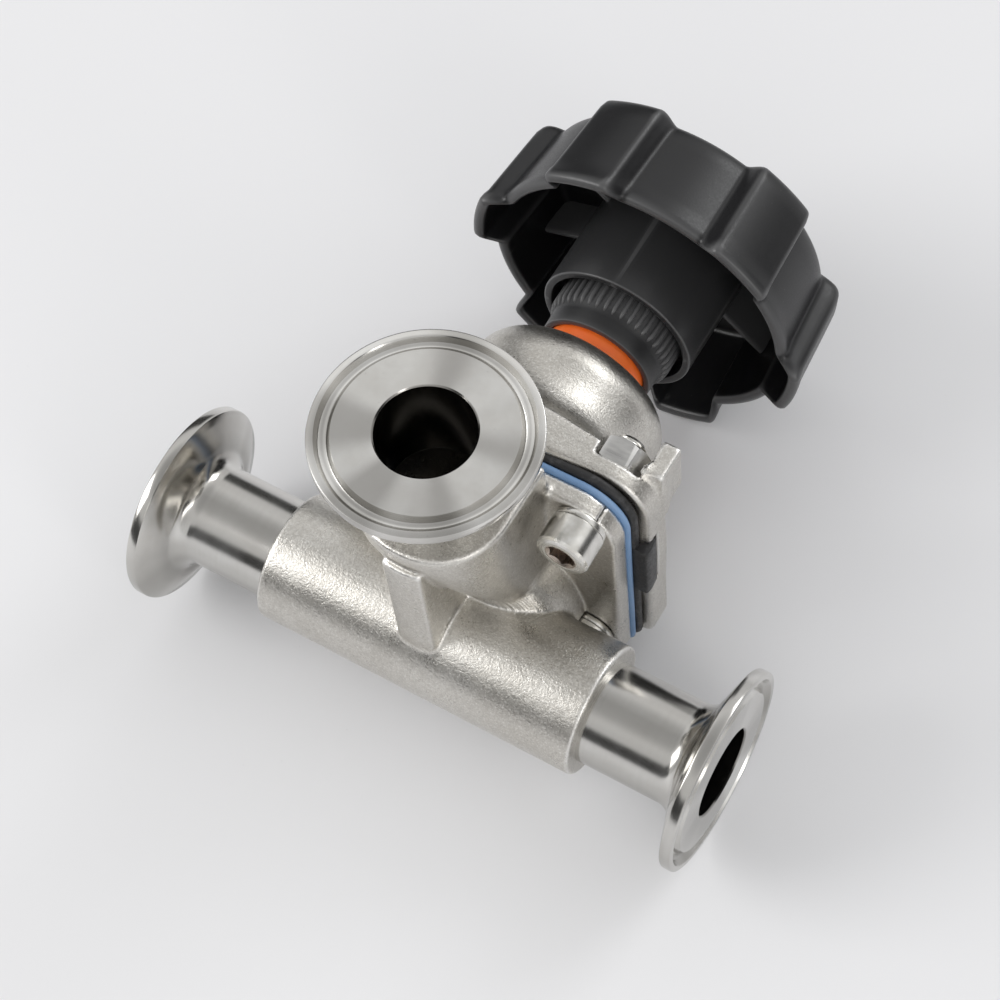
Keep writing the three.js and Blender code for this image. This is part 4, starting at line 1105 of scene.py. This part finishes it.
def diaphragm(name, node, low, high, outline, finish, tab=False):
    """One sheet: clamped rim with a rounded, slightly bulged edge, and a dished middle."""
    count = 384
    edge = sheet_outline(outline, count)
    around = [(math.cos(2 * math.pi * i / count), math.sin(2 * math.pi * i / count)) for i in range(count)]
    thick = high - low
    rise, free = 2.9, 18.4
    edge_inset = 0.985
    dish = [free * s / 10 for s in range(11)]
    flat = (0.35, 0.7, 0.96)
    bulge = [(0.10, 0.988), (0.28, 0.997), (0.5, 1.0), (0.72, 0.997), (0.90, 0.988)]

    def dish_ring(r, y):
        lift = rise * 0.5 * (1 + math.cos(math.pi * min(r / free, 1.0)))
        return [(r * c, y + lift, r * s) for c, s in around]

    def flat_ring(share, y):
        near, far = (free + 0.01) * (1 - share), share * edge_inset
        return [(near * c + far * ex, y, near * s + far * ez) for (c, s), (ex, ez) in zip(around, edge)]

    rings = [dish_ring(r, low) for r in dish] + [flat_ring(share, low) for share in flat]
    rings += [[(ex * share, low + thick * up, ez * share) for ex, ez in edge] for up, share in bulge]
    rings += [flat_ring(share, high) for share in reversed(flat)]
    rings += [dish_ring(r, high) for r in reversed(dish)]
    points = [p for ring in rings for p in ring]
    faces = []
    for i in range(len(rings) - 1):
        for k in range(count):
            n = (k + 1) % count
            faces.append((i * count + k, (i + 1) * count + k, (i + 1) * count + n, i * count + n))
    obj = mesh_object(name, to_place(points, "stem"), faces, finish)
    cleaned(obj)
    if tab:
        combined(obj, marker_tab(low, finish), "UNION")
    holes = [(SCREW_HOLE_R, low - 1, high + 1, place) for place in SCREW_PLACES]
    if tab:
        # The compressor's stud passes the sheet, and the spindle's end comes down into a seat under it.
        holes.append((6.3, low - 1, low + rise + 1.3, (0, STEM_Z)))
        holes.append((2.7, low, high + rise + 1, (0, STEM_Z)))
    for r, bottom, top, (x, z) in holes:
        hole = raw_turned("hole", [(0, bottom), (r, bottom), (r, top), (0, top)], 32)
        hole.data.transform(to_cad(x, 0, z))
        combined(obj, hole, "DIFFERENCE")
    edge_shade(obj, 40)
    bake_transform(obj)
    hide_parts(node)
    return obj


def marker_tab(low, finish):
    """The tongue that stands up in the bonnet's notch, with a raised bead along its face."""
    half = 9.9
    section = rounded_corners([
        (31.0, low + 0.05), (39.0, low + 0.05), (39.3, low + 1.6), (39.0, 33.3), (37.4, 33.3),
        (37.4, low + 2.65), (31.0, low + 2.65)], 0.45, 3)
    lengths = [-1.0, -0.985, -0.95, -0.6, 0.0, 0.6, 0.95, 0.985, 1.0]
    shrink = [0.90, 0.965, 1.0, 1.0, 1.0, 1.0, 1.0, 0.965, 0.90]
    mid_x, mid_y = 35.2, low + 2.0
    points = []
    for t, s in zip(lengths, shrink):
        for x, y in section:
            points.append((mid_x + (x - mid_x) * s, mid_y + (y - mid_y) * s, t * half))
    faces = lofted_faces(len(lengths), len(section))
    return cleaned(mesh_object("marker_tab", to_place(points, "stem"), faces, finish))


def position_ring():
    profile = rounded_corners([(11.35, 65.5), (12.9, 65.5), (12.9, 78.6), (11.35, 78.6)], 0.5, 4)
    points, faces = turned(profile, 128)
    obj = cleaned(mesh_object("position_ring", to_place(points, "stem"), faces, FINISH["orange"]))
    edge_shade(obj, 35)
    held(obj, "valve", "orange_plastic", "indicator_ring")


def splined_collar():
    """Smooth skirt with a crown, and splines grown round its upper half."""
    profile = [
        (13.3, 73.05), (13.5, 73.0), (14.5, 73.0), (14.75, 73.12), (14.85, 73.5), (14.95, 77.2),
        (15.05, 78.2), (15.45, 78.9), (15.6, 79.6), (15.6, 88.9), (15.3, 89.2), (5.3, 89.2), (5.3, 86.6),
        (13.0, 86.6), (13.3, 86.3),
    ]
    points, faces = turned(profile, 176)
    skirt = cleaned(mesh_object("splined_collar", points, faces, FINISH["collar"]))
    edge_shade(skirt, 30)
    low, high = 78.3, 89.0
    root_r, foot_r, tooth_width = 15.0, 14.9, 0.62
    crest = ((-1.35, -0.75), (-0.85, -0.12), (-0.3, 0.0), (0.3, 0.0), (0.85, -0.12), (1.35, -0.75))
    # Height, crest radius and half width of one tooth, from its pointed foot to its chamfered end.
    rows = [
        (low, 15.15, 0.15), (low + 0.5, 15.75, 0.55), (low + 1.3, 16.2, 0.75), (low + 2.5, 16.38, 0.72),
        (high - 0.6, 16.38, 0.62), (high, 16.1, 0.5),
    ]
    tooth = []
    for y, r, half in rows:
        tooth += [(max(r + dr, root_r), y, dz * half * tooth_width) for dz, dr in crest]
        tooth += [(foot_r, y, half * tooth_width), (foot_r, y, -half * tooth_width)]
    tooth_faces = lofted_faces(len(rows), len(crest) + 2)
    teeth = cleaned(mesh_object("collar_teeth", tooth, tooth_faces, FINISH["collar"]))
    edge_shade(teeth, 50)
    ring_of_copies_tree().run_on(teeth, Count=44, First_Angle=0.0, Finish=FINISH["collar"])
    whole = joined("splined_collar", [skirt, teeth])
    whole.data.transform(to_cad(0, 0, STEM_Z))
    held(whole, "handwheel_group", "charcoal_plastic", "indicator_collar")


def joined(name, objects):
    """Several objects' meshes as one piece."""
    work = bmesh.new()
    for obj in objects:
        work.from_mesh(obj.data)
    mesh = bpy.data.meshes.new(name)
    work.to_mesh(mesh)
    work.free()
    for material in objects[0].data.materials:
        mesh.materials.append(material)
    for obj in objects:
        bpy.data.objects.remove(obj)
    piece = bpy.data.objects.new(name, mesh)
    bpy.context.scene.collection.objects.link(piece)
    return piece


def smoothstep(low, high, value):
    t = min(max((value - low) / (high - low), 0.0), 1.0)
    return t * t * (3 - 2 * t)


def lobed_handwheel():
    """Skirt and crown as one turned shell with lobes swelled out of it, plus hub, web and ribs."""
    crown, rim = 120.3, 93.7
    outer_rim, outer_crown = 40.2, 38.0
    wall = 2.5

    def outer_at(y):
        return outer_rim + (outer_crown - outer_rim) * (y - rim) / (crown - rim)

    profile = []
    cap_hole_r = 12.2
    for s in range(7):
        a = math.pi * s / 6
        mid = outer_at(rim) - wall / 2
        profile.append((mid - wall / 2 * math.cos(a) * 1.18, rim + 1.1 - 1.35 * math.sin(a)))
    profile.append((outer_at(rim) + 0.05, rim + 2.6))
    for s in range(9):
        y = rim + 4.0 + (crown - 4.2 - rim - 4.0) * s / 8
        profile.append((outer_at(y), y))
    for s in range(1, 9):
        a = math.radians(90 * s / 8)
        profile.append((outer_at(crown) - 3.0 + 3.0 * math.cos(a), crown - 3.4 + 3.0 * math.sin(a)))
    for r in (32.0, 27.0, 22.0, 17.0, 13.2):
        profile.append((r, crown - 0.4 + 0.38 * (1 - (r / 36.0) ** 2)))
    profile += [(cap_hole_r, crown - 0.6), (cap_hole_r, crown - 2.7)]
    inner_top = crown - 3.0
    for r in (14.0, 20.0, 26.0, 31.0):
        profile.append((r, inner_top))
    for s in range(7):
        a = math.radians(90 - 90 * s / 6)
        base = outer_at(inner_top) - wall
        profile.append((base - 2.0 + 2.0 * math.cos(a), inner_top - 2.0 + 2.0 * math.sin(a)))
    for s in range(1, 9):
        y = inner_top - 2.0 - (inner_top - 2.0 - rim - 2.5) * s / 8
        profile.append((outer_at(y) - wall, y))
    around = 432
    points, faces = turned(profile, around)
    shell = mesh_object("handwheel", points, faces, FINISH["wheel"])
    lobe = np.array([smoothstep(29.0, 34.5, r) for r, _ in profile], np.float32)
    low_down = [1 - smoothstep(rim + 0.5, rim + 22.0, y) for _, y in profile]
    drop = lobe * np.array(low_down, np.float32)
    for label, values in (("lobe_share", lobe), ("rim_share", drop)):
        attribute = shell.data.attributes.new(label, "FLOAT", "POINT")
        attribute.data.foreach_set("value", np.repeat(values, around))
    lobed_wheel_tree().run_on(
        shell, Lobe_Count=6, Lobe_Height=4.9, Rim_Drop=2.6, Flat_Half_Angle=math.radians(9.5),
        Foot_Half_Angle=math.radians(16.0), First_Angle=math.radians(49.0), Finish=FINISH["wheel"])
    cleaned(shell)
    edge_shade(shell, 42)

    hub_profile = rounded_corners([(18.2, 83.3), (20.2, 83.3), (20.2, 117.5), (18.2, 117.5)], 0.5, 3)
    hub = cleaned(mesh_object("hub", *turned(hub_profile, 144), FINISH["wheel"]))
    web_profile = rounded_corners([
        (5.5, 89.7), (18.6, 89.7), (18.6, 97.2), (12.2, 97.2), (12.2, 117.5), (9.4, 117.5), (9.4, 97.2),
        (5.5, 97.2)], 0.3, 2)
    web = cleaned(mesh_object("web", *turned(web_profile, 96), FINISH["wheel"]))
    rib_from, rib_to = 19.6, 36.4
    rib_rows = [(107.2, 0.35), (107.6, 0.7), (108.4, 0.8), (118.0, 1.0)]
    rib_points = []
    for y, half in rib_rows:
        rib_points += [(rib_from, y, -half), (rib_to, y, -half), (rib_to, y, half), (rib_from, y, half)]
    ribs = cleaned(mesh_object("ribs", rib_points, lofted_faces(len(rib_rows), 4), FINISH["wheel"]))
    ring_of_copies_tree().run_on(ribs, Count=6, First_Angle=math.radians(79.0), Finish=FINISH["wheel"])
    for piece in (hub, web, ribs):
        edge_shade(piece, 35)
    whole = joined("handwheel_moulding", [shell, hub, web, ribs])
    whole.data.transform(to_cad(0, 0, STEM_Z))
    held(whole, "handwheel_group", "charcoal_plastic", "handwheel")


def wheel_cap():
    """The cap that closes the well over the hub screw, with a slightly crowned top."""
    top = 120.6
    profile = [
        (0, top - 2.4), (7.7, top - 2.4), (7.7, top - 6.0), (9.1, top - 6.0), (9.1, top - 2.4),
        (11.8, top - 2.4), (11.9, top - 0.9), (11.6, top - 0.35), (10.6, top - 0.05), (6.0, top + 0.25),
        (0, top + 0.35),
    ]
    points, faces = turned(profile, 96)
    obj = cleaned(mesh_object("wheel_cap_disc", to_place(points, "stem"), faces, FINISH["cap"]))
    edge_shade(obj, 35)
    held(obj, "handwheel_group", "charcoal_plastic", "wheel_cap")


# ------------------------------------------------------------------ studio
def studio():
    """Pale floor, three soft lights and a pale room."""
    half = 3.0
    corners = [(-half, -half, 0), (half, -half, 0), (half, half, 0), (-half, half, 0)]
    floor = mesh_object("studio_floor", corners, [(0, 1, 2, 3)], floor_finish(), False)

    def softbox(name, place, aim, width, depth, power, tint=(1, 1, 1)):
        data = bpy.data.lights.new(name, "AREA")
        data.shape = "RECTANGLE"
        data.size, data.size_y = width, depth
        data.energy = power
        data.color = tint
        light = bpy.data.objects.new(name, data)
        way = Vector(aim) - Vector(place)
        light.matrix_world = Matrix.Translation(place) @ way.to_track_quat("-Z", "Y").to_matrix().to_4x4()
        bpy.context.scene.collection.objects.link(light)

    middle = (0, 0, 0.05)
    softbox("left_softbox", (-1.1, -0.75, 0.95), middle, 0.85, 0.85, 9.5, (1.0, 0.995, 0.985))
    softbox("back_softbox", (0.55, 1.15, 0.95), middle, 0.7, 0.5, 4.0, (0.98, 0.99, 1.0))
    softbox("right_strip", (0.95, -0.45, 0.55), middle, 0.2, 0.8, 1.6, (1.0, 0.985, 0.96))

    world = bpy.data.worlds.new("pale_room")
    bpy.context.scene.world = world
    world.use_nodes = True
    nodes, links = world.node_tree.nodes, world.node_tree.links
    back = nodes["Background"]
    where = nodes.new("ShaderNodeTexCoord")
    parts = nodes.new("ShaderNodeSeparateXYZ")
    links.new(where.outputs["Generated"], parts.inputs[0])
    ramp = nodes.new("ShaderNodeValToRGB")
    links.new(parts.outputs["Z"], ramp.inputs[0])
    # How bright the room is from the floor (0) through the horizon (0.5) to the ceiling (1).
    stops = [(0.0, 0.75), (0.30, 0.80), (0.52, 1.05), (0.76, 1.12), (0.9, 0.72), (1.0, 0.62)]
    dimmed_by = 1.2
    band = ramp.color_ramp.elements
    band[0].position, band[1].position = stops[0][0], stops[-1][0]
    band[0].color = (*[stops[0][1] / dimmed_by] * 3, 1)
    band[1].color = (*[stops[-1][1] / dimmed_by] * 3, 1)
    for spot, tone in stops[1:-1]:
        band.new(spot).color = (*[tone / dimmed_by] * 3, 1)

    def step(operation, a, b=None, c=None):
        node = nodes.new("ShaderNodeMath")
        node.operation = operation
        for socket, value in zip(node.inputs, (a, b, c)):
            if isinstance(value, bpy.types.NodeSocket):
                links.new(value, socket)
            elif value is not None:
                socket.default_value = value
        return node.outputs[0]

    # Dark flags stand low round the set, so polished edges pick up black and white bands.
    azimuth = step("ARCTAN2", parts.outputs["Y"], parts.outputs["X"])
    flag_count, flag_turn, flag_depth, room_strength = 3.0, 0.9, -0.93, 1.04
    flags = step("SINE", step("MULTIPLY_ADD", azimuth, flag_count, flag_turn))
    flag = nodes.new("ShaderNodeMapRange")
    flag.interpolation_type = "SMOOTHSTEP"
    links.new(flags, flag.inputs["Value"])
    flag.inputs["From Min"].default_value = -0.1
    flag.inputs["From Max"].default_value = 0.35
    low = nodes.new("ShaderNodeMapRange")
    low.interpolation_type = "SMOOTHSTEP"
    links.new(parts.outputs["Z"], low.inputs["Value"])
    low.inputs["From Min"].default_value = 0.50
    low.inputs["From Max"].default_value = 0.38
    shade = step("MULTIPLY", step("MULTIPLY", flag.outputs["Result"], low.outputs["Result"]), flag_depth)
    lit = step("ADD", shade, 1.0)
    links.new(ramp.outputs["Color"], back.inputs["Color"])
    links.new(step("MULTIPLY", lit, room_strength), back.inputs["Strength"])
    bpy.context.scene.view_settings.view_transform = "Standard"
    bpy.context.scene.view_settings.look = "None"


# ------------------------------------------------------------------ put the valve together
valve_camera()
_run_centre = tuple(placed(0, 0, 0))
_branch_centre = tuple(placed(0, BRANCH_Y, 0))
FINISH = {
    "blasted": blasted_steel(),
    "run_polish": polished_steel("polished_run_ferrule", _run_centre, 0),
    "branch_polish": polished_steel("polished_branch_ferrule", _branch_centre, 2),
    "screw": screw_steel(),
    "nut": nut_steel(),
    "brass": brass_finish(),
    "blue": sheet_plastic(),
    "rubber": sheet_rubber(),
    "orange": ring_plastic(),
    "wheel": wheel_plastic("wheel_plastic", (0.0085, 0.0085, 0.0095), 0.33),
    "collar": wheel_plastic("collar_plastic", (0.012, 0.012, 0.013), 0.40),
    "cap": wheel_plastic("cap_plastic", (0.009, 0.009, 0.010), 0.30),
}

run_length = RUN_HALF - BLOCK_HALF
branch_length = BRANCH_TOP - BOSS_TOP
ferrule("right_run_ferrule", "run_ferrule_right", run_length, "run", RUN_HALF, 1, FINISH["run_polish"])
ferrule("left_run_ferrule", "run_ferrule_left", run_length, "run", RUN_HALF, -1, FINISH["run_polish"])
ferrule(
    "top_branch_ferrule", "branch_ferrule", branch_length, "branch", BRANCH_TOP, 1, FINISH["branch_polish"])

body_piece = moulded(
    "machined_body", body_field, (-44.2, -18.0, -20.2), (44.2, 28.2, 60.2), FINISH["blasted"])
held(body_piece, "valve", "blasted_steel", "valve_body")
bonnet_piece = moulded(
    "domed_bonnet", bonnet_field, (-40.2, 29.4, -21.6), (40.2, 79.4, 52.0), FINISH["blasted"])
held(bonnet_piece, "valve", "blasted_steel", "bonnet")

fasteners()
diaphragm(
    "blue_face_sheet", "diaphragm_face", FLANGE_BACK, FACE_BACK, FACE_SHEET, FINISH["blue"])
diaphragm(
    "black_backing_sheet", "diaphragm_backing", FACE_BACK, BACKING_BACK, BACKING_SHEET, FINISH["rubber"],
    tab=True)
position_ring()
splined_collar()
lobed_handwheel()
wheel_cap()

carried = {
    "compressor": "blasted", "compressor_pin_right": "screw", "compressor_pin_left": "screw",
    "diaphragm_stud": "screw", "spindle": "screw", "hub_washer": "screw", "hub_screw": "screw",
    "spindle_bush": "brass", "hub_insert": "brass", "spindle_seal": "rubber",
}
for node_name, finish_name in carried.items():
    cad_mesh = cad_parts[node_name].data
    cad_mesh.materials.clear()
    cad_mesh.materials.append(FINISH[finish_name])

studio()
